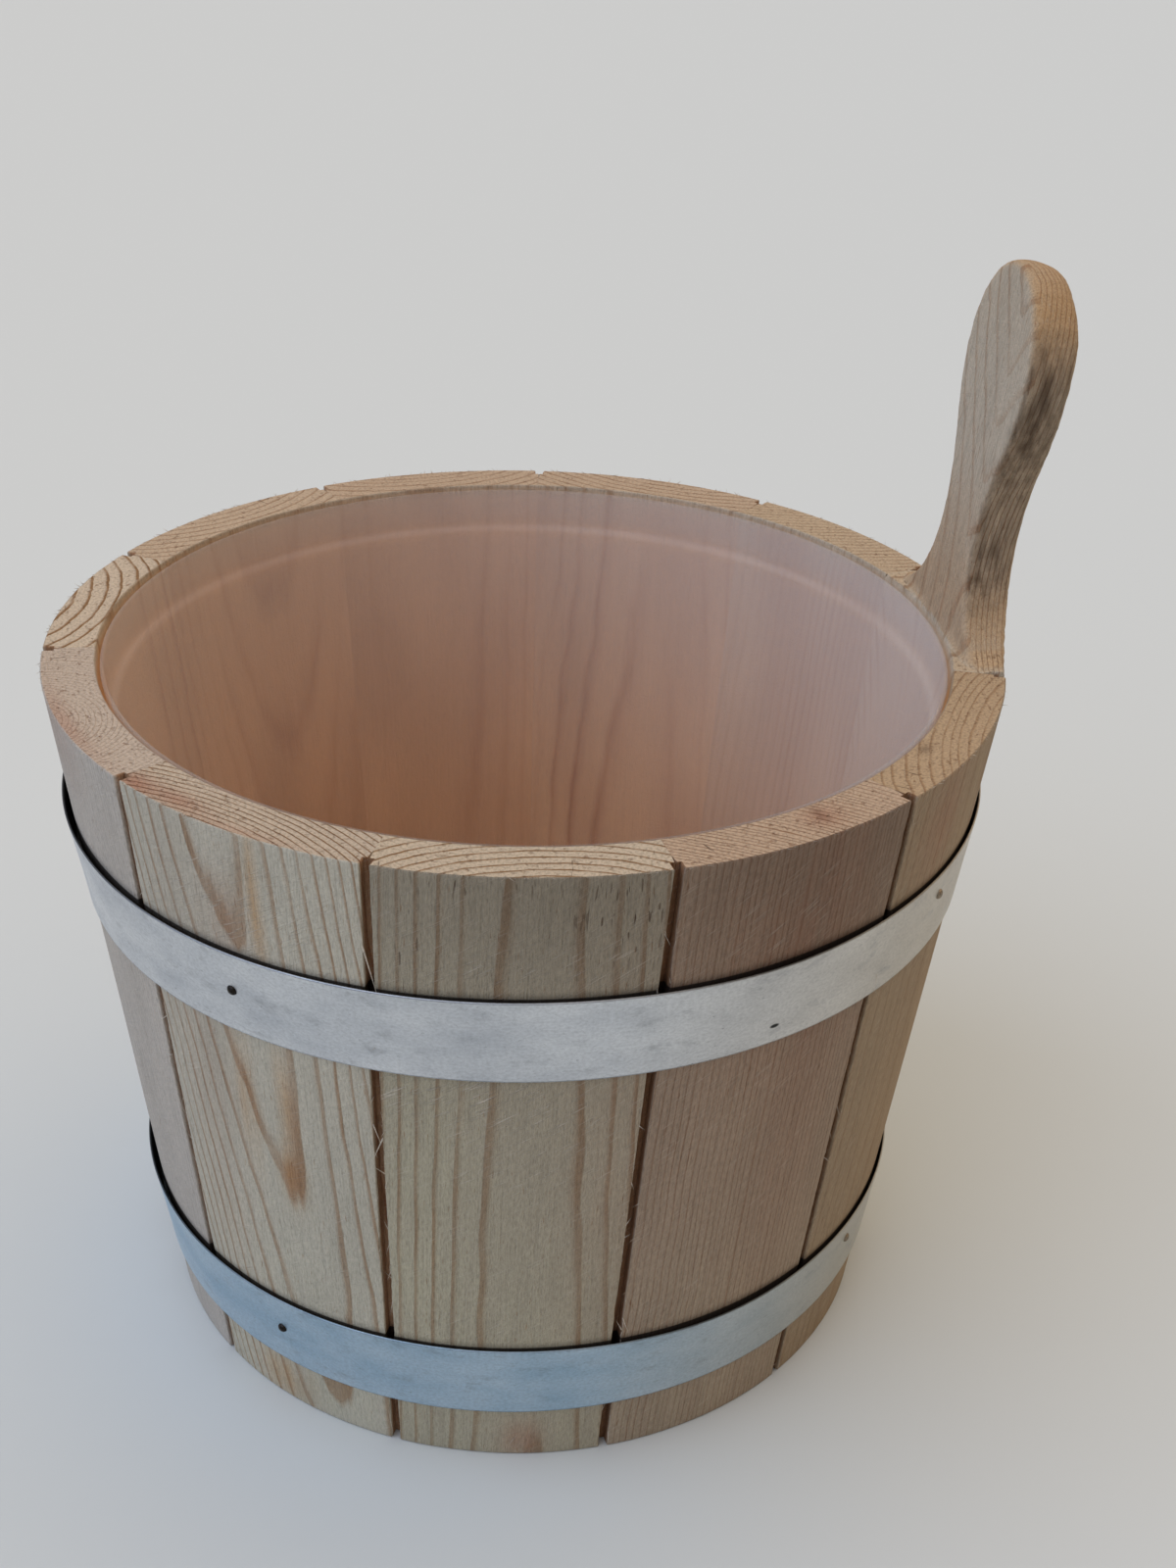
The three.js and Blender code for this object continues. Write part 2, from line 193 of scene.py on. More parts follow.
def set_inputs(tree, node, inputs):
    """Gives a node its inputs. Each is a number, a colour's hex code or another node's output."""
    for name, value in inputs.items():
        if isinstance(value, bpy.types.NodeSocket):
            tree.links.new(value, node.inputs[name])
        else:
            node.inputs[name].default_value = linear(value) if isinstance(value, str) else value


def add_node(tree, kind, inputs=None, ramp=None, output=0, **settings):
    """Adds a shader node with its settings and links, and gives one of its outputs. A ramp is a list of
    (position, grey level)."""
    made = tree.nodes.new("ShaderNode" + kind)
    for name, value in settings.items():
        setattr(made, name, value)
    set_inputs(tree, made, inputs or {})
    if ramp:
        stops = made.color_ramp.elements
        while len(stops) < len(ramp):
            stops.new(1)
        for stop, (position, level) in zip(stops, ramp):
            stop.position = position
            stop.color = (level, level, level, 1)
    return made.outputs[output]


def made_of(name, finish, *settings):
    """A material from a function that adds its nodes and gives the inputs of its shader."""
    material = bpy.data.materials.new(name)
    material.use_nodes = True
    tree = material.node_tree
    set_inputs(tree, tree.nodes["Principled BSDF"], finish(partial(add_node, tree), *settings))
    return material


def patterns(add, place, table, roughness):
    """Patterns over a place in millimetres, each from its sizes, its detail and its ramp of shades. Gives
    their noise and their shades."""
    grain, shade = {}, {}
    for name, (sizes, detail, ramp) in table.items():
        scale = tuple(1 / size for size in sizes)
        sized = add("Mapping", {"Vector": place, "Scale": scale})
        grit = {"Vector": sized, "Scale": 1, "Detail": detail, "Roughness": roughness}
        grain[name] = add("TexNoise", grit)
        if ramp:
            shade[name] = add("ValToRGB", {0: grain[name]}, ramp)
    return grain, shade


def coated(add, colour, coats):
    """A colour under several coats, each as (where, strength, colour, how it blends)."""
    for where, strength, coat, blend in coats:
        amount = add("Math", {0: where, 1: strength}, operation="MULTIPLY")
        # Inputs 6 and 7 of a mix are its colours, and output 2 is the mixed colour.
        layers = {"Factor": amount, 6: colour, 7: coat}
        colour = add("Mix", layers, output=2, data_type="RGBA", blend_type=blend)
    return colour


LATE_WOOD = "#bd8c58"
END_LINE = "#b4946e"
INNER_LINE = "#cfa448"
PALE_FIBRE = "#d9cebd"
END_GRAIN = "#d0bda3"
HONEY = "#bd8a46"
# The colour that darkens dirt, and the painted shade on the handle's sides.
DIRT_AND_SHADE_TONE = "#6e6053"
GROOVE_WOOD = "#a4764e"
ROSY = "#a4735a"
# The inner wall's warmer colour, also painted brighter for the light that comes through the liner.
INNER_WOOD_AND_LIGHT = "#f4b06c"
INNER_BLOTCH = "#c07d3e"
ROOT_WOOD = "#bd9a70"
GREENISH = "#c6c0a2"
SPLIT_WOOD = "#4a3524"
# The colour of the painted shadow in the gap behind each hoop.
HOOP_GAP_SHADOW = "#3a322b"
# The colour of the warm reflection painted on the hoops.
STEEL_WARM_REFLECTION = "#c6b9a2"
STEEL_SPECK = "#6f7378"
STEEL_STAIN = "#7c8187"
NICK_BLACK = "#141312"
# The cut edge's own dark oxide, and the painted shadow of the gap behind each hoop.
CUT_EDGE_AND_GAP_SHADOW = "#26272a"


def sawn_pine(add):
    """Scots pine, band-sawn outside, turned smooth inside and never finished. It gives the eye a dull, pale
    surface with brown year lines, a fuzz of fibres along the grain, small dark resin dashes, slanting saw
    scratches and open splits, painted shadow along the hoops' upper edges, and a smoother, warmer wall inside
    the tub that is painted brighter for the light that comes through the liner."""
    place = add("Attribute", output="Vector", attribute_name="place")
    tone = add("Attribute", output="Color", attribute_name="tone")
    growth, lines, splits, dirt, scratched, stained, end, long_grain, turned = [
        add("Attribute", output="Fac", attribute_name=mark)
        for mark in "growth lines splits dirt scratched stained endgrain longgrain turned".split()
    ]

    # Each pattern's width across the grain, depth into the wood and length along the grain in millimetres,
    # its detail and its shades. Real fibres are finer, too fine to show, so they are drawn coarser.
    wood_patterns = {
        "wobble": ((6, 6, 60), 2, None),
        "patches": ((9, 9, 60), 3, [(0.3, 0.4), (0.62, 1)]),
        "fibres": ((0.62, 0.62, 20), 3, [(0.3, 0.6), (0.54, 1)]),
        "fuzz": ((0.42, 0.42, 2.2), 3, [(0.3, 0.55), (0.6, 1)]),
        "cloud": ((24, 24, 110), 2, [(0.3, 0.8), (0.6, 1)]),
        "dashes": ((0.42, 0.42, 5.5), 1, [(0.68, 0), (0.75, 1)]),
        "splits": ((0.85, 0.9, 8), 1, [(0.64, 0), (0.67, 1)]),
        "pores": ((0.8, 0.8, 0.8), 3, [(0.35, 0.5), (0.55, 1)]),
        "pits": ((1.6, 1.2, 1.2), 3, [(0.6, 0), (0.7, 1)]),
        "checks": ((1.1, 11, 11), 2, [(0.7, 0), (0.76, 1)]),
    }
    grain, shade = patterns(add, place, wood_patterns, 0.6)
    saw_slant = math.radians(-56)
    slanted = add("Mapping", {"Vector": place, "Rotation": (0, saw_slant, 0)})
    saw_patterns = {"scratches": ((0.4, 0.4, 10), 2, [(0.57, 0), (0.66, 1)])}
    shade.update(patterns(add, slanted, saw_patterns, 0.6)[1])

    # A year's growth: pale wood that ends in a clean brown band, and then starts again.
    ring = add("Math", {0: grain["wobble"], 1: 0.3, 2: growth}, operation="MULTIPLY_ADD")
    year = add("Math", {0: ring}, operation="FRACT")
    # Where the wood was turned smooth that band is broad and soft.
    clean_band = [(0, 0.8), (0.04, 0), (0.72, 0.03), (0.83, 0.45), (0.88, 0.95), (1, 1)]
    soft_band = [(0, 0.55), (0.12, 0.08), (0.55, 0.04), (0.78, 0.4), (0.92, 0.9), (1, 0.65)]
    sharp = add("ValToRGB", {0: year}, clean_band)
    soft = add("ValToRGB", {0: year}, soft_band)
    late = add("Mix", {"Factor": turned, 2: sharp, 3: soft})
    clearer = add("Math", {0: end, 1: 0.9, 2: 1}, operation="MULTIPLY_ADD")
    for share in (shade["patches"], clearer, lines):
        late = add("Math", {0: late, 1: share}, operation="MULTIPLY")
    late_wood = coated(add, LATE_WOOD, [(end, 1, END_LINE, "MIX"), (turned, 1, INNER_LINE, "MIX")])

    masks = {"scratches": scratched, "dashes": long_grain, "splits": splits, "pits": end, "checks": end}
    scratch, dash, split, pit, check = [
        add("Math", {0: shade[pattern], 1: where}, operation="MULTIPLY") for pattern, where in masks.items()
    ]
    # The painted shadow of the gap behind the hoop ends in a crisp dark line at the hoop's upper edge, with a
    # faint painted shade above it.
    gap_shade = add("ValToRGB", {0: stained}, [(0.2, 0), (0.46, 0.35), (0.5, 1)])
    coats = [
        (late, 0.95, late_wood, "MULTIPLY"),
        (long_grain, 0.42, shade["fibres"], "MULTIPLY"),
        (long_grain, 0.6, shade["fuzz"], "MULTIPLY"),
        (long_grain, 0.6, shade["cloud"], "MULTIPLY"),
        (end, 0.6, shade["pores"], "MULTIPLY"),
        (pit, 0.55, GROOVE_WOOD, "MULTIPLY"),
        (scratch, 0.5, PALE_FIBRE, "MIX"),
        (dash, 0.6, LATE_WOOD, "MULTIPLY"),
        # Dirt, and painted shade on the handle's sides.
        (dirt, 1, DIRT_AND_SHADE_TONE, "MULTIPLY"),
        (split, 0.95, SPLIT_WOOD, "MIX"),
        (check, 0.7, SPLIT_WOOD, "MIX"),
        (gap_shade, 0.95, HOOP_GAP_SHADOW, "MULTIPLY"),
    ]

    # Raised fibres and year lines, scratches and open splits.
    height = 0
    reliefs = [(grain["fibres"], 0.8), (grain["fuzz"], 0.8), (late, 0.7), (scratch, 0.7), (split, -1.2)]
    for relief, depth in [*reliefs, (pit, -0.8), (shade["pores"], 0.5)]:
        height = add("Math", {0: relief, 1: depth, 2: height}, operation="MULTIPLY_ADD")
    return {
        "Base Color": coated(add, tone, coats),
        "Roughness": add("MapRange", {0: grain["fibres"], 1: 0.3, 2: 0.7, 3: 0.86, 4: 0.68}),
        "Normal": add("Bump", {"Height": height, "Strength": 0.85, "Distance": 0.4 * MM}),
        "Specular IOR Level": 0.28,
    }


def rolled_steel(add, hoop_name, dull, bright):
    """Galvanised strip steel, cold rolled and slit to width. It gives the eye a soft grey shine with a fine
    grit, small dull specks and stains, a painted warm reflection on the handle's side, a black nick, a cut
    upper edge dark partly from its own oxide and partly as painted shadow, and the upper half of its inner
    face painted dark as the shadow of the gap behind the strip."""
    strip = add("Attribute", output="Vector", attribute_name="strip")
    edge, warm_reflection = [add("Attribute", output="Fac", attribute_name=mark) for mark in ("edge", "warm_reflection")]
    # Each pattern's length along the strip, height and depth in millimetres, its detail and its shades.
    steel_patterns = {
        "grit": ((1, 0.7, 1), 4, [(0.3, 0.6), (0.62, 1)]),
        "cloud": ((22, 13, 1), 3, None),
        "specks": ((1.6, 1.1, 1), 4, [(0.64, 0), (0.72, 1)]),
        "stains": ((9, 5, 1), 6, [(0.56, 0), (0.74, 1)]),
    }
    grain, shade = patterns(add, strip, steel_patterns, 0.62)
    cloud = add("MapRange", {0: grain["cloud"], 1: 0.3, 2: 0.7})
    from_nick = add("VectorMath", {0: strip, 1: (*NICKS[hoop_name], 0)}, operation="SUBTRACT")
    nick_scale = (1 / NICK_LENGTH, 1 / NICK_HEIGHT, 1)
    across_nick = add("Mapping", {"Vector": from_nick, "Scale": nick_scale})
    away = add("VectorMath", {0: across_nick}, output="Value", operation="LENGTH")
    nicked = add("ValToRGB", {0: away}, [(0.6, 1), (1, 0)])
    coats = [
        (cloud, 1, bright, "MIX"),
        # A warm reflection of the room, painted on the handle's side.
        (warm_reflection, 0.7, STEEL_WARM_REFLECTION, "MIX"),
        (shade["specks"], 0.45, STEEL_SPECK, "MIX"),
        (shade["stains"], 0.4, STEEL_STAIN, "MIX"),
        (nicked, 0.95, NICK_BLACK, "MIX"),
        # The painted shadow of the gap on the strip's inner face, and its cut edge, partly its own oxide.
        (edge, 0.95, CUT_EDGE_AND_GAP_SHADOW, "MIX"),
        (1, 0.5, shade["grit"], "MULTIPLY"),
    ]
    return {
        "Base Color": coated(add, dull, coats),
        "Roughness": add("MapRange", {0: grain["cloud"], 1: 0.3, 2: 0.7, 3: 0.48, 4: 0.4}),
        "Normal": add("Bump", {"Height": grain["grit"], "Strength": 0.35, "Distance": 0.05 * MM}),
        "Metallic": 1,
    }


def drawn_steel(add, code, roughness):
    """Steel wire headed in a die and hammered home, for rivets and nails. It gives the eye a small shine with
    a pitted top, dark on the blackened nails."""
    where = add("TexCoord", output="Object")
    pits = add("TexNoise", {"Vector": where, "Scale": 1 / (0.5 * MM), "Detail": 3})
    shade = add("ValToRGB", {0: pits}, [(0.35, 0.5), (0.65, 1)])
    return {
        "Base Color": coated(add, code, [(1, 1, shade, "MULTIPLY")]),
        "Normal": add("Bump", {"Height": pits, "Strength": 0.4, "Distance": 0.1 * MM}),
        "Metallic": 1,
        "Roughness": roughness,
    }


def moulded_polypropylene(add):
    """Natural polypropylene, injection moulded thin. It gives the eye a milky veil that the wood shows
    through, thicker towards its rim and where it is seen edge on, with a soft waxy shine."""
    where = add("TexCoord", output="Object")
    flow = add("TexNoise", {"Vector": where, "Scale": 1 / (45 * MM), "Detail": 3})
    thick = add("Attribute", output="Fac", attribute_name="thick")
    edge_on = add("LayerWeight", {"Blend": 0.25}, output="Facing")
    thin_veil = add("MapRange", {0: edge_on, 3: 0.088, 4: 0.31})
    return {
        "Base Color": "#e3e3e1",
        "Alpha": add("Math", {0: thick, 1: 0.12, 2: thin_veil}, operation="MULTIPLY_ADD"),
        "Roughness": add("MapRange", {0: flow, 3: 0.12, 4: 0.24}),
        "IOR": 1.49,
    }


PINE = made_of("pine_sawn_and_turned", sawn_pine)
HOOP_STEEL = {
    "upper_hoop": made_of("galvanised_steel_rolled", rolled_steel, "upper_hoop", "#c7ccd2", "#e1e5e9"),
    # The lower hoop's bluer colours are a painted reflection of cool light from the lower left.
    "lower_hoop": made_of("galvanised_steel_rolled_painted_blue_reflection", rolled_steel, "lower_hoop", "#aac4d6", "#c6d8e5"),
}
RIVET_STEEL = made_of("steel_rivet_drawn", drawn_steel, "#a2a6aa", 0.38)
NAIL_STEEL = made_of("steel_nail_blackened", drawn_steel, "#332f2b", 0.28)
BRIGHT_NAIL_STEEL = made_of("steel_nail_tarnished", drawn_steel, "#9c8d79", 0.4)
LINER_PLASTIC = made_of("polypropylene_moulded_milky", moulded_polypropylene)


# Pieces


def in_scene(name, data):
    """A new object of the scene that holds a mesh, a lamp or a camera."""
    made = bpy.data.objects.new(name, data)
    bpy.context.scene.collection.objects.link(made)
    return made


def add_piece(name, points, faces, material, slot, replaced, body="bucket", marks=None, crease=45):
    """A mesh of points in millimetres that rides on a body, with its marks as attributes for its material."""
    used = np.unique(np.concatenate([np.asarray(face) for face in faces]))
    renumbered = np.zeros(len(points), dtype=int)
    renumbered[used] = np.arange(len(used))
    corners = [tuple(renumbered[list(face)].tolist()) for face in faces]
    mesh = bpy.data.meshes.new(name)
    mesh.from_pydata((points[used] * MM).tolist(), [], corners)
    kinds = {1: ("FLOAT", "value"), 3: ("FLOAT_VECTOR", "vector"), 4: ("FLOAT_COLOR", "color")}
    for mark, values in (marks or {}).items():
        values = np.asarray(values, dtype=np.float32)[used]
        kind, field = kinds[values[0].size]
        mesh.attributes.new(mark, kind, "POINT").data.foreach_set(field, values.ravel())
    mesh.materials.append(material)
    mesh.shade_smooth()
    mesh.set_sharp_from_angle(angle=math.radians(crease))
    piece = in_scene(name, mesh)
    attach(piece, body)
    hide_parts(*replaced)


def woven_faces(rows, columns):
    """Four-cornered faces between rows of points, each row a closed loop."""
    index = np.arange(rows * columns).reshape(rows, columns)
    following = np.roll(index, -1, axis=1)
    corners = [index[:-1], following[:-1], following[1:], index[1:]]
    return np.stack(corners, axis=-1).reshape(-1, 4)


def tube(loops):
    """Points and faces of a tube woven from loops of points, with one face across each end."""
    rows, columns = loops.shape[:2]
    first_end = tuple(range(columns))[::-1]
    last_end = tuple(range((rows - 1) * columns, rows * columns))
    return loops.reshape(-1, 3), [*woven_faces(rows, columns), first_end, last_end]


def welded(points, faces):
    """Points and faces where corners that lie in one place become one corner, without the faces that this
    shrinks to a line."""
    _, first, place = np.unique(np.round(points, 3), axis=0, return_index=True, return_inverse=True)
    same = first[place.ravel()]
    kept = []
    for face in faces:
        corners = same[list(face)].tolist()
        corners = [corner for step, corner in enumerate(corners) if corner != corners[step - 1]]
        if len(set(corners)) == len(corners) > 2:
            kept.append(tuple(corners))
    return points[same], kept


def filled(outline, spacing, inside):
    """Points and triangles that fill a level outline, with points inside it a spacing apart."""
    level = outline[0, 2]
    low, high = outline.min(axis=0), outline.max(axis=0)
    xs, ys = np.meshgrid(np.arange(low[0], high[0], spacing), np.arange(low[1], high[1], spacing))
    inner = np.stack([xs.ravel(), ys.ravel(), np.full(xs.size, level)], axis=-1)
    places = np.concatenate([outline, inner[inside(inner)]])[:, :2]
    count = len(outline)
    border = [(i, (i + 1) % count) for i in range(count)]
    flat, _, faces, *_ = geometry.delaunay_2d_cdt([*map(tuple, places)], border, [], 1, 1e-6)
    points = np.array([(*place, level) for place in flat])
    # Its edge meets the wall's end exactly.
    apart = np.linalg.norm(points[:, None] - outline[None], axis=2)
    on_edge = apart.min(axis=1) < 1e-3
    points[on_edge] = outline[apart.argmin(axis=1)[on_edge]]
    return points, faces


def end_faces(walls, spacing, inside):
    """Points and faces that close the top and then the bottom of rows of wall points, numbered on from the
    wall's own points."""
    start = walls.shape[0] * walls.shape[1]
    for row, way in ((-1, 1), (0, -1)):
        points, faces = filled(walls[row], spacing, inside)
        yield points, [tuple(start + corner for corner in face[::way]) for face in faces]
        start += len(points)


# The figure of each stave: the width and the centre of its year rings, in millimetres from the middle of its
# outer face, how that centre leans to the side and drifts inwards for each millimetre of height, how much the
# rings vary in width and their lines wave, how strong they are, the colour of the wood and of its ends, how
# far its inner wall has reddened and is painted brighter for the light through the liner, and how dirty its
# grooves are.
# A patch is (colour, across, height, half width, half height, strength). On an end its heights are depths.
# Splits, darkened patches and scratches have no colour, and nor have the inner wall's bold lines and
# blotches. The darkened patches on staves 8 and 9 make the wood darker towards the rim.
FIGURES = [
    dict(ring=1.75, pith=300, lines=0.42, tone="#c7b9a1", end="#bfa482", reddened_and_lit=0.6),
    dict(
        ring=2.4, pith=60, side=80, vary=0.2, wave=0.5, lines=0.36, tone="#bcae97", end="#bfa482", reddened_and_lit=0.66,
        bold=[(0, 100, 40, 120, 0.35)],
    ),
    dict(
        ring=2.8, pith=50, side=-6, drift=0.02, vary=0.2, wave=1.6, phase=0.56, lines=0.45, tone="#bbab94",
        end="#bfa385", reddened_and_lit=0.8, bold=[(16, 90, 12, 120, 1.1)],
    ),
    dict(
        ring=3.2, pith=42, side=4, drift=-0.02, lines=0.4, tone="#b9a891", end="#bfa385", reddened_and_lit=0.9,
        blotches=[(23, 140, 9, 26, 1.2)],
    ),
    dict(
        ring=3.0, pith=40, side=-7.5, drift=-0.06, vary=0.2, phase=0.38, lines=0.4, tone="#baa992",
        end="#c4aa8c", bold=[(-8, 138, 18, 45, 0.9)], blotches=[(-8, 177, 8, 14, 1.2)],
    ),
    dict(ring=3.7, pith=34, side=6, lines=0.75, tone="#bcad97"),
    dict(
        ring=1.3, pith=8, side=2, lines=0.25, tone="#c2b9ac", end="#c2ae98",
        patches=[(ROSY, 0, 196, 14, 14, 0.4)], end_patches=[(ROSY, 6, -1, 20, 3, 0.5)],
    ),
    # Low on staves 7, 8 and 9 the greenish patches are partly the wood's own hue and partly painted light,
    # which lightens the foot where the floor shades it.
    dict(
        ring=1.7, pith=53.6, side=6, slant=-0.1, drift=-0.0214, vary=0, wave=0.6, phase=0.15, lines=0.75,
        tone="#c3bca9", end="#c3ae96", scratched=[(0, 176, 26, 16, 0.4)],
        patches=[
            (GREENISH, 0, 10, 60, 60, 0.4), (HONEY, -5, 8, 9, 9, 0.6), (HONEY, 8, 93, 3.5, 9, 0.75),
            (HONEY, 8.5, 118, 2.5, 22, 0.55), (HONEY, -4, 116, 3, 22, 0.45), (ROSY, -3, 172, 7, 18, 0.3),
            (HONEY, 7, 182, 1.8, 22, 0.65), (ROSY, -18, 120, 12, 90, 0.2),
        ],
        end_patches=[(ROSY, -31, -2, 8, 4, 0.8), (ROSY, -17, -4, 8, 3, 0.6), (ROSY, 2, -1, 16, 2, 0.4)],
    ),
    dict(
        ring=2.8, pith=37.7, side=6.2, slant=-0.012, drift=0.0085, vary=0, wave=0.35, phase=0.67, lines=0.66,
        tone="#aba18c", dirt=[(6, 200, 48, 44, 0.37)],
        scratched=[(-14, 137, 22, 9, 1), (2, 172, 30, 12, 0.5), (8, 120, 24, 14, 0.4)],
        splits=[(24, 189, 12, 14, 1), (-25.5, 178, 3, 12, 1), (-9, 199, 14, 5, 1)],
        patches=[
            (GREENISH, 0, 10, 60, 70, 0.5), (GREENISH, -24, 100, 15, 60, 0.5),
            (ROSY, 30, 100, 14, 80, 0.22), (ROSY, 6, 6, 6, 9, 0.7),
        ],
    ),
    dict(
        ring=1.5, pith=50, side=-80, wave=0.5, lines=0.5, tone="#a48f7a", end="#c8ad90", grime=0.35,
        scratched=[(6, 182, 26, 14, 0.4)], dirt=[(0, 200, 60, 44, 0.4)],
        patches=[(ROSY, 12, 110, 12, 120, 0.25), (ROSY, 0, 175, 26, 40, 0.4), (GREENISH, 0, 10, 60, 60, 0.3)],
        end_patches=[(SPLIT_WOOD, 9, -9, 1.2, 3.5, 0.7), (ROSY, 9, -8, 6, 5, 0.5)],
    ),
    dict(
        ring=2.5, pith=55, side=12, lines=0.32, tone="#a69175", end="#bda07c", grime=0.45,
        patches=[(ROSY, -20, 185, 10, 18, 0.5), (HONEY, 5, 90, 20, 90, 0.15)],
        end_patches=[(SPLIT_WOOD, -13, -11, 2.5, 1.4, 0.6)],
    ),
]
# Splinters that stand out: (stave, place across, height, outwards, along, upwards, length, width).
SPLINTERS = [
    (7, 0.982, 176, 0.15, 0.35, -1, 13, 0.5),
    (7, 0.984, 120, 0.2, 0.5, -1, 6, 0.4),
    (8, 0.018, 116, 0.3, -0.35, -1, 8, 0.4),
    (8, 0.018, 104, 0.5, -0.5, 0.8, 6, 0.35),
    (8, 0.02, 99, 0.4, 0.25, 1, 7, 0.35),
    (9, 0.018, 48, 0.4, -0.4, 1, 7, 0.4),
    (9, 0.02, 52, 0.5, 0.3, -1, 5, 0.35),
    (8, 0.55, 4, 0.2, 0.5, 1, 6, 0.35),
    (10, 0.018, 150, 0.3, -0.4, -1, 7, 0.4),
]


def tinted(tone, code, amount):
    """A colour at each point, taken part of the way to another colour."""
    return tone + (np.array(linear(code)) - tone) * np.clip(amount, 0, 1)[..., None]


def wood_marks(number, across, deep, z, ends, groove=0):
    """The attributes of sawn pine at places in a stave: across it, out from its outer face, and up. A place
    is on an end or not, and in a groove or not."""
    figure = FIGURES[number]
    across, deep, z, ends, groove = np.broadcast_arrays(across, deep, z, ends, groove)
    level = z - TUB_HEIGHT / 2
    waves = 1.6 * wander(number, z / 55, across / 40) + 0.5 * wander(number, z / 13, across / 15)
    sideways = across - figure.get("side", 0) - figure.get("slant", 0) * level + figure.get("wave", 1) * waves
    distance = figure["pith"] + figure.get("drift", 0) * level - deep
    rings = np.hypot(sideways, distance) / figure["ring"] + figure.get("phase", 0)
    uneven = figure.get("vary", 0.7) * wander(rings / 2.3, 5 * number, 0.5)
    uneven += 0.08 * wander(across / 9 + 3 * number, deep / 9, z / 22)

    faults = {fault: np.zeros(z.shape) for fault in ("splits", "dirt", "scratched", "bold", "blotches")}
    for fault, spread in faults.items():
        for *patch, strength in figure.get(fault, []):
            spread += strength * spot(across, z, *patch) * (1 - ends)

    # Colour comes off in streaks along the grain.
    streaks = 0.75 + 0.45 * wander(across / 2.4 + number, deep / 2.4, z / 26)
    tone = np.tile(linear(figure["tone"]), z.shape + (1,))
    tone = tinted(tone, figure.get("end", END_GRAIN), 0.7 * ends)
    for code, *patch, strength in figure.get("patches", []):
        tone = tinted(tone, code, strength * streaks * spot(across, z, *patch) * (1 - ends))
    for code, *patch, strength in figure.get("end_patches", []):
        tone = tinted(tone, code, strength * spot(across, deep, *patch) * ends)
    # The wall inside the tub was turned smooth. It has reddened in soft blotches, and few of its lines show.
    # Its colour is also painted brighter, to stand in for the light that comes through the liner.
    within = progress(-deep, WALL - 1, WALL - 0.2) * (1 - ends)
    within *= progress(z, TUB_HEIGHT, TUB_HEIGHT - 4) * progress(z, BOARD_TOP, BOARD_TOP + 3)
    blotches = 0.3 + 1.2 * wander(across / 20 + 5 * number, 3.5, z / 60) + faults.pop("blotches")
    shown = np.clip(0.5 + 0.9 * wander(across / 9 + 9 * number, 0.5, z / 140), 0.12, 0.9)
    shown = 1.2 * shown + 1.2 * faults.pop("bold")
    faults["scratched"] += 0.3 * (1 - ends) * (1 - within)
    paler = 1 - 0.15 * progress(z, 110, 190) - 0.3 * progress(z, 186, 198)
    tone = tinted(tone, INNER_WOOD_AND_LIGHT, figure.get("reddened_and_lit", 0.95) * paler * within)
    tone = tinted(tone, INNER_BLOTCH, 0.4 * np.clip(blotches, 0, 1) * within)
    tone = tinted(tone, GROOVE_WOOD, groove)
    return {
        **faults,
        "growth": rings + uneven,
        "lines": figure["lines"] * (1 + (shown - 1) * within),
        "tone": tone,
        "endgrain": ends,
        "longgrain": (1 - ends) * (1 - 0.75 * within),
        "turned": within,
        "stained": np.zeros(z.shape),
        "place": np.stack([across + 200 * number, deep, z], axis=-1),
    }


def stave_marks(number, points, ends, groove=0):
    """The attributes of sawn pine at points of a stave."""
    radius, angle = polar(points)
    z = points[:, 2]
    turn = np.mod(angle - stave_angle(number, 0.5, z) + math.pi, FULL_TURN) - math.pi
    return wood_marks(number, turn * radius, radius - outside(z), z, ends, groove)


def hoop_gap_shadow(angle, z):
    """How near a place is to the middle of the bands of painted shadow behind the hoops' upper edges, where
    the
    gap between hoop and wood lies in shade: one at the middle, a half at the edge, and less above it."""
    gap_shade = np.zeros(np.broadcast(angle, z).shape)
    half_band = 4
    for hoop_name in HOOP_BOTTOMS:
        above = z - hoop_level(hoop_name, HOOP_WIDTH, angle)
        gap_shade = np.maximum(gap_shade, 1 - np.abs(above + half_band) / (2 * half_band))
    return gap_shade


def stave_section():
    """One level section of a stave, as (place across from 0 to 1, distance from the joint, depth) round it:
    the outer face, the side of a groove, its floor, the joint, the inner face and the other side again."""
    half_groove, half_gap = TORN_GROOVE_WIDTH / 2, GLUE_LINE / 2
    corner = [(half_groove + ARRIS * (1 - math.sin(b)), ARRIS * (1 - math.cos(b))) for b in QUARTER_BENDS]
    side = [
        *corner,
        *[(half_groove, share * TORN_GROOVE_DEPTH) for share in (0.4, 0.7, 1)],
        *[(half_gap, depth) for depth in (TORN_GROOVE_DEPTH, 6.5, 8.5, 10.5, 12.5, WALL)],
    ]
    outer = [(across, *corner[0]) for across in np.linspace(0, 1, 58)[1:-1]]
    inner = [(across, *side[-1]) for across in np.linspace(1, 0, 44)[1:-1]]
    loop = [*outer, *[(1, *point) for point in side], *inner, *[(0, *point) for point in side[::-1]]]
    return np.array(loop).T


def stave_heights():
    """Levels of the rows of points up a stave, close together at its ends and at the bottom's groove."""
    rounding = END_ROUNDING * (1 - np.cos(QUARTER_BENDS))
    levels = np.linspace(2.5, TUB_HEIGHT - 2.5, 98)
    croze = [BOARD_LIFT - FIT, BOARD_LIFT - FIT + 0.01, BOARD_TOP + FIT - 0.01, BOARD_TOP + FIT]
    return np.sort(np.concatenate([rounding, TUB_HEIGHT - rounding, levels, croze]))


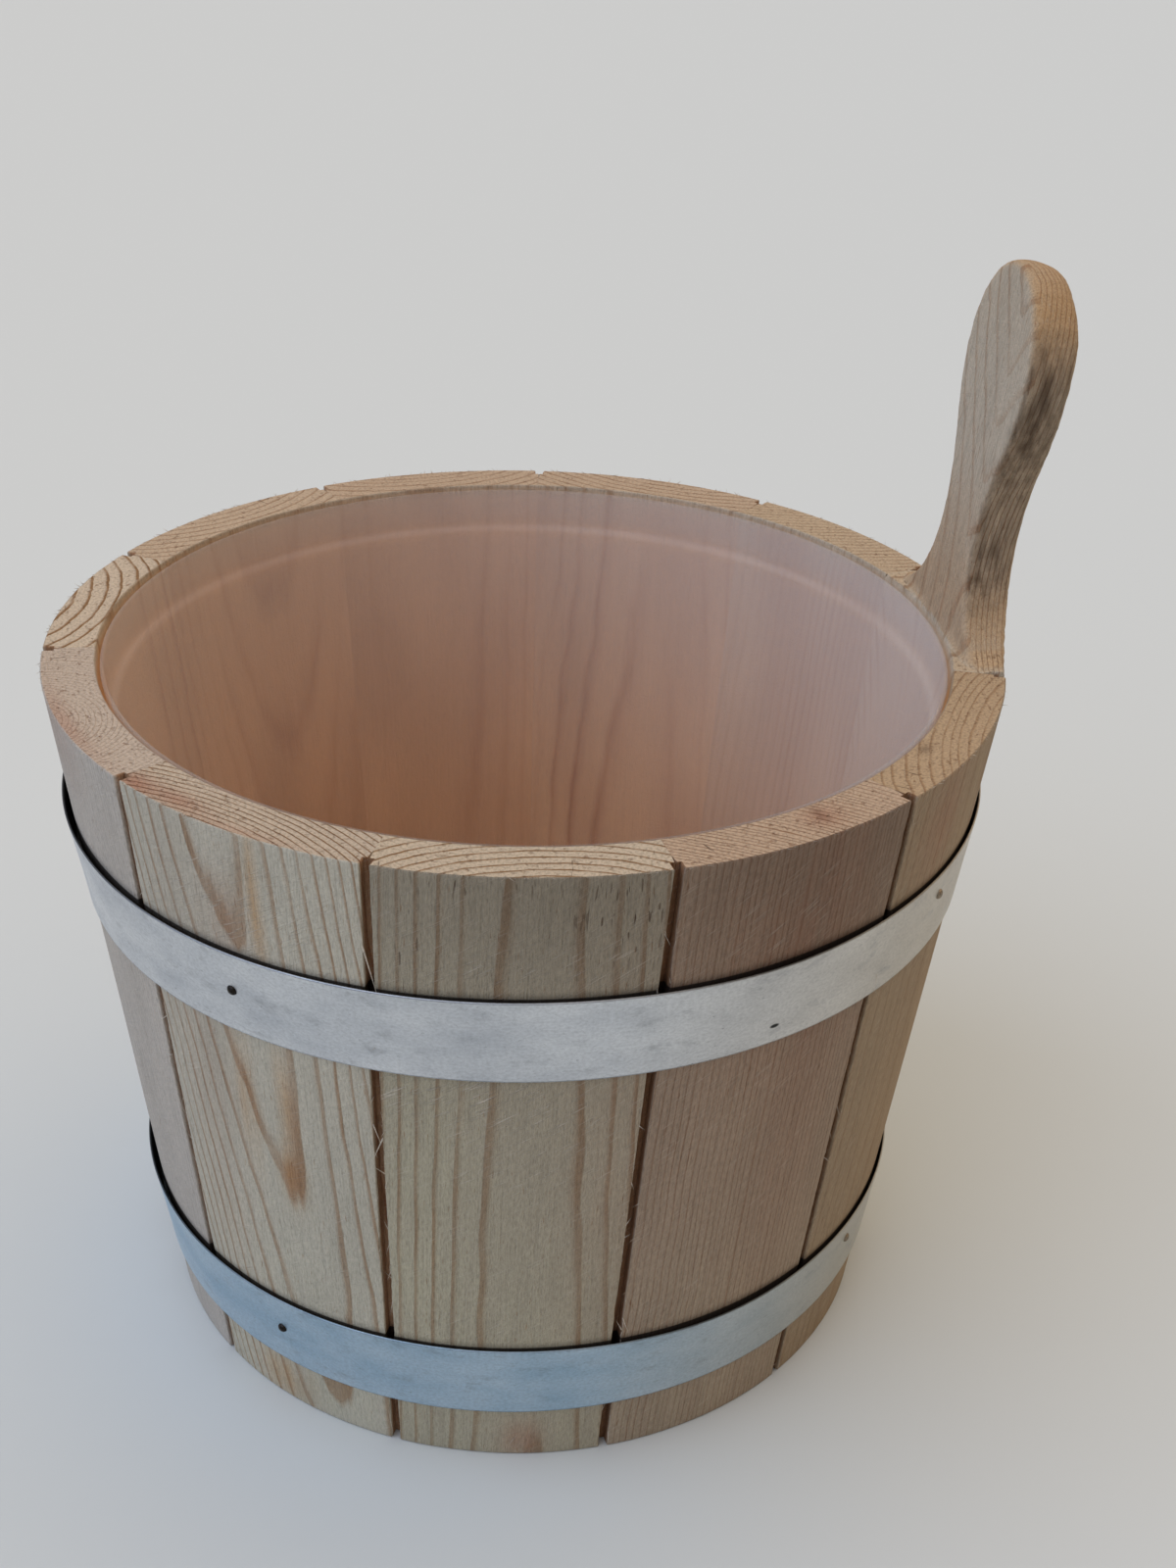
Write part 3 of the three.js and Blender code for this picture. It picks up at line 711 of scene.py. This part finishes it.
def torn_fibres(number, start):
    """Thin slivers that the saw left on a stave: along its rim, its foot and the edges of its grooves. Gives
    their points, their faces, numbered from a start, and their marks."""
    chance = np.random.default_rng(number)
    edge = (TORN_GROOVE_WIDTH / 2 + ARRIS) / COMMON_STAVE_WIDTH
    slivers = [splinter[1:] for splinter in SPLINTERS if splinter[0] == number]
    for _ in range(RIM_SLIVERS):
        place, out, along, up = chance.uniform((0.03, 0.2, -1, -0.2), (0.97, 0.8, 1, 0.6))
        size = chance.uniform((0.6, 0.14), (2.3, 0.32))
        slivers.append((place, TUB_HEIGHT - 0.15, out, along, up, *size))
    for _ in range(FOOT_SLIVERS):
        place, out, along = chance.uniform((0.03, 0.1, -1), (0.97, 0.6, 1))
        size = chance.uniform((0.5, 0.12), (1.5, 0.28))
        slivers.append((place, 0.5, out, along, 0.1, *size))
    for _ in range(GROOVE_SLIVERS):
        side = chance.choice((-1, 1))
        z, out, along, up = chance.uniform((4, 0, 0, -1), (196, 0.2, 0.3, 1))
        size = chance.uniform((1.2, 0.14), (4.5, 0.3))
        slivers.append((edge if side < 0 else 1 - edge, z, out, side * along, up, *size))

    points, faces = [], []
    for place, z, out, along, up, length, width in slivers:
        angle = stave_angle(number, place, z)
        outwards = np.array([math.cos(angle), math.sin(angle), 0])
        sideways = np.array([-math.sin(angle), math.cos(angle), 0])
        pointing = out * outwards + along * sideways + np.array([0, 0, up])
        pointing /= np.linalg.norm(pointing)
        broad = np.cross(pointing, outwards)
        broad /= np.linalg.norm(broad)
        root = around(outside(z) - 0.1, angle, z) - 0.3 * pointing
        sides = np.array([(0, 1, 2), (1, 0, 3), (2, 1, 3), (0, 2, 3)])
        faces.extend(map(tuple, start + len(points) + sides))
        points.extend(root + shift * width / 2 for shift in (-broad, broad, outwards))
        points.append(root + pointing * length)
    points = np.array(points)
    points[:, 2] = np.maximum(points[:, 2], 0)
    marks = stave_marks(number, points, 0)
    marks["tone"] = tinted(marks["tone"], PALE_FIBRE, 0.65)
    marks["lines"] = np.zeros(len(points))
    return points, faces, marks


def plain_stave(number):
    """A sawn stave with softened, slightly torn edges, grooved along both joints."""
    across, away, depth = stave_section()
    z = stave_heights()[:, None]
    in_groove = (np.abs(across - 0.5) == 0.5) & (depth <= TORN_GROOVE_DEPTH)
    # The saw tore small chips out of the groove's edges and out of the ends.
    side_seed = number * 2 + (across > 0.5)
    chips = 0.9 * np.clip(wander(side_seed, 7.5, z / 9) - 0.3, 0, 1)
    chips += 0.2 * np.abs(wander(side_seed, 0.5, z / 2.3))
    away = away + chips * np.where(depth < 1, 1, 0.25) * (depth < TORN_GROOVE_DEPTH)
    ragged = 0.3 + 0.35 * np.abs(wander(across * 23 + 31 * number, depth / 5, z / 40))
    near_end = progress(np.minimum(z, TUB_HEIGHT - z), END_ROUNDING, 0)
    trim = ragged * (1 - np.sqrt(1 - near_end**2))
    in_croze = (z > BOARD_LIFT - FIT) & (z < BOARD_TOP + FIT)
    inner_depth = np.where(in_croze, outside(z) - CROZE_RADIUS, WALL)
    planed = 0.12 * wander(across * 3 + 11 * number, 0.5, z / 60)
    deep = np.clip(np.minimum(depth, inner_depth), trim, WALL - trim) + planed * (depth < 0.01)
    radius = outside(z) - deep
    away += np.where(in_groove, trim, 0)
    first, last = joint_angle(number, z), joint_angle(number + 1, z)
    angle = first + away / radius + across * (last - first - 2 * away / radius)
    rows, columns = angle.shape
    walls, faces = welded(around(radius, angle, z).reshape(-1, 3), woven_faces(rows, columns))

    def inside(places):
        """Whether places on the stave's ends lie clear of its edges, its joints and its grooves."""
        away_from_axis, turn = polar(places)
        level = places[:, 2]
        inwards = outside(level) - away_from_axis
        start = joint_angle(number, level)
        width = (joint_angle(number + 1, level) - start) * away_from_axis
        reach = np.mod(turn - start, FULL_TURN) * away_from_axis
        room = np.where(inwards < TORN_GROOVE_DEPTH + 0.8, TORN_GROOVE_WIDTH / 2 + 2, 1.2)
        return (reach > room) & (width - reach > room) & (inwards > 1.6) & (inwards < WALL - 1.6)

    groove_wood = np.tile(in_groove & (depth > 0.5), rows)
    wall_marks = stave_marks(number, walls, 0, 0.85 * groove_wood)
    # The outer face and the grooves are painted dark where the gap behind each hoop lies in shadow.
    wall_marks["stained"] = (hoop_gap_shadow(angle, z) * (depth <= TORN_GROOVE_DEPTH)).ravel()
    wall_marks["dirt"] = np.maximum(wall_marks["dirt"], FIGURES[number].get("grime", 0) * groove_wood)
    points, marks = [walls], [wall_marks]
    for end, closing in end_faces(walls.reshape(rows, columns, 3), END_SPACING, inside):
        points.append(end)
        marks.append(stave_marks(number, end, 1))
        faces.extend(closing)
    fibres, fibre_faces, fibre_marks = torn_fibres(number, sum(map(len, points)))
    points = np.concatenate([*points, fibres])
    marks.append(fibre_marks)
    marks = {mark: np.concatenate([group[mark] for group in marks]) for mark in fibre_marks}
    name = f"stave_{number:02d}"
    add_piece(f"pine_{name}", points, [*faces, *fibre_faces], PINE, "stave_pine", [name], marks=marks)


def worn_blank():
    """Points, normals and faces of the handle stave's solid, remeshed finely so that its edges are worn."""
    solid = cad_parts["handle_stave"]
    blank = in_scene("handle_blank", solid.data.copy())
    remesh = blank.modifiers.new("fine", "REMESH")
    remesh.mode = "VOXEL"
    remesh.voxel_size = WORN_GRAIN * MM
    worn = blank.modifiers.new("worn", "SMOOTH")
    worn.factor = 0.5
    worn.iterations = 2
    bpy.context.view_layer.update()
    made = blank.evaluated_get(bpy.context.evaluated_depsgraph_get()).to_mesh()
    points = np.array([v.co for v in made.vertices]) / MM
    normals = np.array([v.normal for v in made.vertices])
    faces = [tuple(p.vertices) for p in made.polygons]
    bpy.data.objects.remove(blank)
    return points, normals, faces


def handle_stave():
    """The stave that rises to a handle, with a worn grip."""
    points, normals, faces = worn_blank()

    # The turned faces go back to a true cone.
    radius, angle = polar(points)
    z = points[:, 2]
    for face, reach in ((outside(z), 0.6), (outside(z) - WALL, 1.1)):
        near = (np.abs(radius - face) < reach) & (z < TUB_HEIGHT - 1)
        points[near] = around(face, angle, z)[near]

    # The joints are glued tight to the staves beside it.
    radius, angle = polar(points)
    below_groove = (radius < outside(z) - SAWN_GROOVE_DEPTH + 0.3) & (z < TUB_HEIGHT + 0.3)
    for number, way in ((0, 1), (1, -1)):
        joint = joint_angle(number, z)
        glued = ((angle - joint) * radius * way < 0.7) & below_groove
        points[glued] = around(radius, joint + way * GLUE_LINE / 2 / radius, z)[glued]
    low_rim = (np.abs(z - TUB_HEIGHT) < 0.6) & (normals[:, 2] > 0.5)
    points[low_rim, 2] = TUB_HEIGHT

    # The head's back edge is worn round.
    y, z = points[:, 1], points[:, 2]
    rise = z - TUB_HEIGHT
    deep = points[:, 0] - AXIS_X - outside(z)
    from_head = np.hypot(y, rise - HEAD_MIDDLE)
    upwards = np.clip(2.2 * (rise - HEAD_MIDDLE) / from_head - 1, 0, 1)
    worn_back = 5 * progress(deep, -12, 0) ** 2 * upwards * progress(rise, 55, 85)
    points[:, 1] -= worn_back * y / from_head
    points[:, 2] -= worn_back * (rise - HEAD_MIDDLE) / from_head

    rise = z - TUB_HEIGHT
    ends = np.clip(np.abs(normals[:, 2]) * 2 - 0.9, 0, 1) * (rise < 3)
    groove_side = (np.abs(normals[:, 1]) > 0.5) & (z < TUB_HEIGHT - 1)
    in_groove = groove_side & (radius > outside(z) - SAWN_GROOVE_DEPTH - 0.6) & (radius < outside(z) - 0.8)
    marks = wood_marks(0, y, deep, z, ends, 0.8 * in_groove)
    # The year lines on the face that looks into the tub meet in points that hang down, one above the other,
    # and run straight down at its root. Round the edge they follow the handle's side.
    sideways = y + 10 - 0.1 * np.clip(45 - rise, 0, 60)
    spread = np.where(sideways > 0, 0.12, 0.075) + 0.2 * progress(rise, 0, -60)
    climbing = np.where(rise > 40, rise - 20, np.clip(rise, 0, 40) ** 2 / 80) / 15
    layers = (deep + WALL - 1.5) / 1.45
    years = spread * np.sqrt(sideways**2 + 2) - climbing + np.clip(layers, 0, 30)
    waves = 0.2 * wander(y / 14, deep / 14, z / 40) + 0.1 * wander(y / 5, deep / 5, z / 12)
    marks["growth"] = years + waves + 0.35
    side = np.clip(np.abs(normals[:, 1]) * 1.6 - 0.5, 0, 1) * (rise > 0)
    crown = progress(rise, 72, 92) * np.clip(np.hypot(normals[:, 1], normals[:, 2]), 0, 1)
    honey = 0.5 * crown + side * (0.2 + 0.5 * hill(rise, 3, 12))
    root = 0.6 * (1 - side) * progress(rise, 48, 12) * (rise > 0)
    marks["tone"] = tinted(marks["tone"], HONEY, np.clip(honey, 0, 0.8))
    marks["tone"] = tinted(marks["tone"], ROOT_WOOD, root)
    marks["lines"] += 0.3 * np.maximum(side, crown)
    # Hands have greyed the inner half of the side in two places.
    held = (hill(rise, 68, 17) + 0.8 * hill(rise, 21, 12)) * progress(deep, -2.5, -8.5)
    # Most of both sides is also darkened as painted shade, since they face away from the main light.
    side_painted_shade = 0.49 * progress(rise, 4, 18) * progress(rise, 94, 76)
    rough = 0.85 + 0.3 * wander(y / 6, deep / 6, z / 14) + 0.75 * wander(y / 1.3, deep / 1.3, z / 14)
    marks["dirt"] = np.clip(side * rough * (side_painted_shade + 0.42 * held), 0, 0.9)
    # It is painted dark where the gap behind each hoop lies in shadow.
    marks["stained"] = hoop_gap_shadow(angle, z) * (deep > -1.2)
    torn = side * (0.25 * wander(y / 3, deep / 1.1, z / 8) + 0.15 * wander(y, deep, z / 2.5))
    points, faces = welded(points + normals * torn[:, None], faces)
    add_piece("pine_handle_stave", points, faces, PINE, "handle_pine", ["handle_stave"], marks=marks)


def bottom_board(number):
    """One of the glued boards of the bottom, with its arrises taken off."""
    radius = CROZE_RADIUS - FIT
    pitch = 2 * radius / BOARD_COUNT
    low = number * pitch - radius + FIT / 2
    high = low + pitch - FIT
    turn = np.linspace(0, FULL_TURN, 181)[:-1]
    circle = radius * np.stack([np.cos(turn), np.sin(turn)], axis=-1)
    arcs = circle[(circle[:, 1] > low) & (circle[:, 1] < high)]
    corners = [(sign * math.sqrt(radius**2 - y**2), y) for y in (low, high) for sign in (-1, 1)]
    outline = np.concatenate([arcs, corners])
    centre = outline.mean(axis=0)
    outline = outline[np.argsort(np.arctan2(outline[:, 1] - centre[1], outline[:, 0] - centre[0]))]
    edge = []
    for point, after in zip(outline, np.roll(outline, -1, axis=0)):
        count = max(1, int(np.hypot(*(after - point)) / BOARD_SPACING))
        edge.extend(point + (after - point) * step / count for step in range(count))
    edge = np.array(edge)
    outwards = (edge - centre) / np.hypot(*(edge - centre).T)[:, None]
    loops = [edge - inset * outwards for inset in (BOARD_ARRIS, 0, 0, BOARD_ARRIS)]
    levels = [BOARD_LIFT, BOARD_LIFT + BOARD_ARRIS, BOARD_TOP - BOARD_ARRIS, BOARD_TOP]
    walls = np.stack([np.insert(loop, 2, z, axis=1) for loop, z in zip(loops, levels)])

    def inside(places):
        """Whether places on the board's faces lie clear of its edges."""
        on_disc = np.hypot(places[:, 0], places[:, 1]) < radius - 3.5
        return on_disc & (places[:, 1] > low + 3) & (places[:, 1] < high - 3)

    points, faces = [walls.reshape(-1, 3)], [*woven_faces(len(levels), len(edge))]
    for end, closing in end_faces(walls, BOARD_SPACING, inside):
        points.append(end)
        faces.extend(closing)
    points = np.concatenate(points)
    figure_of = (1, 10, 2)[number]
    across = points[:, 1] - (low + high) / 2
    marks = wood_marks(figure_of, across, points[:, 2] - BOARD_TOP, points[:, 0], 0)
    points[:, 0] += AXIS_X
    name = f"bottom_board_{number + 1}"
    add_piece(f"pine_{name}", points, faces, PINE, "board_pine", [name], marks=marks)


def looseness(angle):
    """How loose the hoops are: loose across from the handle and where they bridge one stave's joints, and
    snug elsewhere."""
    bridged = np.exp((np.cos(angle - BRIDGE_ANGLE) - 1) / 0.04)
    return 0.3 + 0.7 * np.clip(-np.cos(angle), 0, 1) ** 3 + 0.55 * bridged


def standoff(angle, up):
    """How far a hoop stands off the staves, from its lower edge upwards."""
    return FIT + (HOOP_STANDOFF - FIT) * looseness(angle) * up / HOOP_WIDTH


def hoop(name):
    """A strip of steel bent round the staves until its end steps out over its start."""
    bottom = HOOP_BOTTOMS[name]
    inner = outside(bottom)
    lap, joggle = LAP_LENGTH / inner, JOGGLE_LENGTH / inner
    turn = np.concatenate([np.linspace(0, FULL_TURN, 300), np.linspace(FULL_TURN, FULL_TURN + lap, 22)[1:]])
    out_of_line = eased(progress(turn, FULL_TURN - 2 * joggle, FULL_TURN - joggle))
    stepped_out = (HOOP_THICKNESS + FIT) * out_of_line

    round_edge = HOOP_THICKNESS / 2
    bends = np.radians(np.linspace(90, -90, 7))
    lower = [(round_edge * (1 - math.cos(b)), round_edge * (1 - math.sin(b))) for b in bends]
    upper = [(HOOP_WIDTH - up, out) for up, out in lower[::-1]]
    rises = np.linspace(round_edge + 0.1, HOOP_WIDTH - round_edge - 0.1, 14)
    inner_face = [(up, 0) for up in rises]
    outer_face = [(up, HOOP_THICKNESS) for up in rises[::-1]]
    up, out = np.array([*lower, *inner_face, *upper, *outer_face]).T

    angle = (LAP_ANGLE - lap / 2 + turn)[:, None]
    z = hoop_level(name, up, angle)
    # The strip was hammered on, so it is slightly bowed and its upper edge stands off unevenly.
    bowed = 0.06 * (1 + wander(np.cos(angle) * 4, np.sin(angle) * 4, up / 14 + bottom))
    uneven = 0.8 + 0.5 * wander(np.cos(angle) * 2, np.sin(angle) * 2, bottom)
    gap = np.clip(uneven, 0, 1.2) * looseness(angle) * (up / HOOP_WIDTH) ** 2
    radius = outside(z) + standoff(angle, up) + out + stepped_out[:, None] + bowed + gap
    strip = np.stack(np.broadcast_arrays(turn[:, None] * inner, up + bottom, 0), axis=-1)
    cut = (up > HOOP_WIDTH - 0.9 * round_edge) & (out < HOOP_THICKNESS)
    # The upper half of the strip's inner face is painted dark as the shadow of the gap behind it. The cut
    # upper edge is dark partly from its own oxide and partly as painted shadow, darker where the hoop stands
    # off.
    edge = np.where((out < 0.1) & (up > HOOP_WIDTH / 2), 1, np.where(cut, looseness(angle), 0))
    # A warm reflection of the room's light is painted on the handle's side of each hoop.
    warm_reflection = np.broadcast_to(progress(np.cos(angle), 0.05, 0.75), edge.shape)
    marks = {"strip": strip.reshape(-1, 3), "edge": edge.ravel(), "warm_reflection": warm_reflection.ravel()}
    strip_mesh = tube(around(radius, angle, z))
    add_piece(f"steel_{name}", *strip_mesh, HOOP_STEEL[name], "hoop_steel", [name], marks=marks)


def fastener(name, profile, angle, z, material, slot, seed):
    """A small turned piece that stands square to the wall, its head left uneven by the hammer."""
    around_it = np.linspace(0, FULL_TURN, 25)[:-1]
    radius, out = np.array(profile).T[:, :, None]
    dented = radius * (1 + 0.06 * wander(np.cos(around_it) + seed, np.sin(around_it), out))
    side = dented * np.cos(around_it)
    up = dented * np.sin(around_it)
    slope = math.atan(LEAN)
    radial = outside(z) + out * math.cos(slope) + up * math.sin(slope)
    level = z - out * math.sin(slope) + up * math.cos(slope)
    x = AXIS_X + radial * math.cos(angle) - side * math.sin(angle)
    y = radial * math.sin(angle) + side * math.cos(angle)
    turned = tube(np.stack([x, y, level], axis=-1))
    add_piece(f"steel_{name}", *turned, material, slot, [name], crease=60)


def domed(size, seat):
    """Profile of a round head from its seat to its top."""
    bends = np.radians(np.linspace(0, 82, 6))
    return [(size["head"] * math.cos(b), seat + size["height"] * math.sin(b)) for b in bends]


def fasteners(hoop_name):
    """The rivets that close a hoop's lap, and the nails that pin it to the staves."""
    bottom = HOOP_BOTTOMS[hoop_name]
    half = HOOP_WIDTH / 2
    for number, side in ((1, -1), (2, 1)):
        angle = LAP_ANGLE + side * RIVET_SPACING / 2 / outside(hoop_level(hoop_name, half, LAP_ANGLE))
        tail = standoff(angle, half)
        seat = tail + 2 * HOOP_THICKNESS + 2 * FIT
        profile = [(RIVET["radius"], tail), (RIVET["radius"], seat), *domed(RIVET, seat)]
        z = hoop_level(hoop_name, half, angle)
        name = f"{hoop_name}_rivet_{number}"
        fastener(name, profile, angle, z, RIVET_STEEL, "rivet_steel", number + bottom)
    for number, (stave, across, above) in enumerate(NAILS, 1):
        angle = stave_angle(stave, across, bottom)
        seat = standoff(angle, half + above) + HOOP_THICKNESS + FIT / 2
        shank = [(0.1, -NAIL_DEPTH), (NAIL["radius"], NAIL_POINT - NAIL_DEPTH), (NAIL["radius"], seat)]
        profile = [*shank, *domed(NAIL, seat)]
        steel = BRIGHT_NAIL_STEEL if stave == BRIGHT_NAILED_STAVE else NAIL_STEEL
        z = hoop_level(hoop_name, half, angle) + above
        name = f"{hoop_name}_nail_{number}"
        fastener(name, profile, angle, z, steel, "nail_steel", 10 * number + bottom)


def liner():
    """The thin plastic tub inside, with a wider collar at its edge and rounded corners."""
    floor = BOARD_TOP + FIT
    bend = floor + LINER_CORNER
    ease = 2 * LINER_STEP

    def collar(z):
        return outside(z) - WALL - LINER_CLEARANCE

    def wall(z):
        return collar(z) - LINER_STEP

    def skin(depth):
        """Profile of the skin at a depth, from the middle of the floor to the lip."""
        rounding = LINER_CORNER - depth
        middle = wall(bend) - LINER_CORNER
        bends = np.radians(np.linspace(0, 90, 9))
        steps = np.linspace(0, 1, 7)
        slope = LINER_SHOULDER - ease + steps * ease
        bottom = [(r, floor + depth) for r in (0.5, 15, 30, 45, 60, 75)]
        corner = [(middle + rounding * math.sin(b), bend - rounding * math.cos(b)) for b in bends]
        sides = [(wall(z) - depth, z) for z in np.linspace(bend + 4, LINER_SHOULDER - ease - 2, 24)]
        shoulder = [(wall(z) + LINER_STEP * eased(step) - depth, z) for step, z in zip(steps, slope)]
        neck = [(collar(z) - depth, z) for z in np.linspace(LINER_SHOULDER + 1.5, LINER_EDGE - 0.7, 5)]
        return [*bottom, *corner, *sides, *shoulder, *neck]

    half = LINER_WALL / 2
    lip_level = LINER_EDGE - LINER_LIP
    centre = collar(lip_level) - half
    bends = np.radians([25, 55, 90, 125, 155])
    lip = [(centre + half * math.cos(b), lip_level + LINER_LIP * math.sin(b)) for b in bends]
    profile = np.array([*skin(0), *lip, *skin(LINER_WALL)[::-1]])
    angle = np.linspace(0, FULL_TURN, 161)[:-1]
    radius, z = profile[:, :1], profile[:, 1:]
    wavy = 0.15 * wander(np.cos(angle) * 2, np.sin(angle) * 2, z / 60) * (z > 60)
    # The wall looks milkier towards the rim, and clearer at the shoulder and on the lip.
    milky = progress(z, 90, 190) - 1.4 * progress(z, LINER_EDGE - 1, LINER_EDGE)
    milky -= 0.5 * hill(z, LINER_SHOULDER - LINER_STEP, 2)
    marks = {"thick": np.broadcast_to(milky, wavy.shape).ravel()}
    tub = tube(around(radius - 0.15 + wavy, angle, z))
    add_piece("plastic_liner", *tub, LINER_PLASTIC, "milky_plastic", ["liner"], "liner", marks, 60)


handle_stave()
for stave_number in range(1, len(RIM_WIDTHS)):
    plain_stave(stave_number)
for board_number in range(BOARD_COUNT):
    bottom_board(board_number)
for hoop_name in HOOP_BOTTOMS:
    hoop(hoop_name)
    fasteners(hoop_name)
liner()


# Floor, light and camera


def matt_paper(_):
    """Uncoated paper, rolled out. It gives the eye a flat pale grey without any shine."""
    return {"Base Color": "#cdd2d0", "Roughness": 1, "Specular IOR Level": 0}


def pale_floor():
    """A plain floor in the grey of the photograph's ground, a hair below the tub's foot."""
    reach = 6
    drop = 0.0002
    mesh = bpy.data.meshes.new("floor")
    corners = [(reach * x, reach * y, -drop) for x, y in ((-1, -1), (1, -1), (1, 1), (-1, 1))]
    mesh.from_pydata(corners, [], [(0, 1, 2, 3)])
    mesh.materials.append(made_of("floor_paper_matt", matt_paper))
    floor = in_scene("floor", mesh)


def soft_light(name, code, strength, spread, tilt, bearing):
    """A wide, soft lamp far away: it shines down from a bearing, its tilt measured from straight above."""
    lamp = bpy.data.lights.new(name, "SUN")
    lamp.color = linear(code)[:3]
    lamp.energy = strength
    lamp.angle = math.radians(spread)
    in_scene(name, lamp).rotation_euler = (math.radians(tilt), 0, math.radians(bearing + 90))


def studio():
    """Cool daylight from the left, a warmer room on the right and a soft light from above."""
    world = bpy.data.worlds.new("studio")
    world.use_nodes = True
    tree = world.node_tree
    add = partial(add_node, tree)
    towards = add("TexCoord", output="Generated")
    right = add("SeparateXYZ", {0: towards}, output="X")
    share = add("MapRange", {0: right, 1: -0.8, 2: 0.8})
    seen = add("LightPath", output="Is Camera Ray")
    colour = coated(add, "#c6daff", [(share, 1, "#ffe3c2", "MIX"), (seen, 1, "#ffffff", "MIX")])
    set_inputs(tree, tree.nodes["Background"], {"Color": colour, "Strength": 0.47})
    bpy.context.scene.world = world
    soft_light("window_left", "#cfe0ff", strength=1.3, spread=70, tilt=50, bearing=205)
    soft_light("room_right", "#ffe9cb", strength=0.5, spread=80, tilt=45, bearing=60)
    soft_light("ceiling", "#fff1df", strength=1.1, spread=110, tilt=8, bearing=120)


def photo_camera():
    """A camera where the photograph was taken from."""
    lens = bpy.data.cameras.new("photo_camera")
    lens.sensor_width = 36
    lens.lens = 47.067
    camera = in_scene("photo_camera", lens)
    camera.location = (-0.06875, -0.51102, 0.43324)
    camera.rotation_euler = [math.radians(turn) for turn in (61.4506, -1.6158, -8.187)]
    bpy.context.scene.camera = camera


pale_floor()
studio()
photo_camera()
bpy.context.scene.view_settings.view_transform = "Standard"
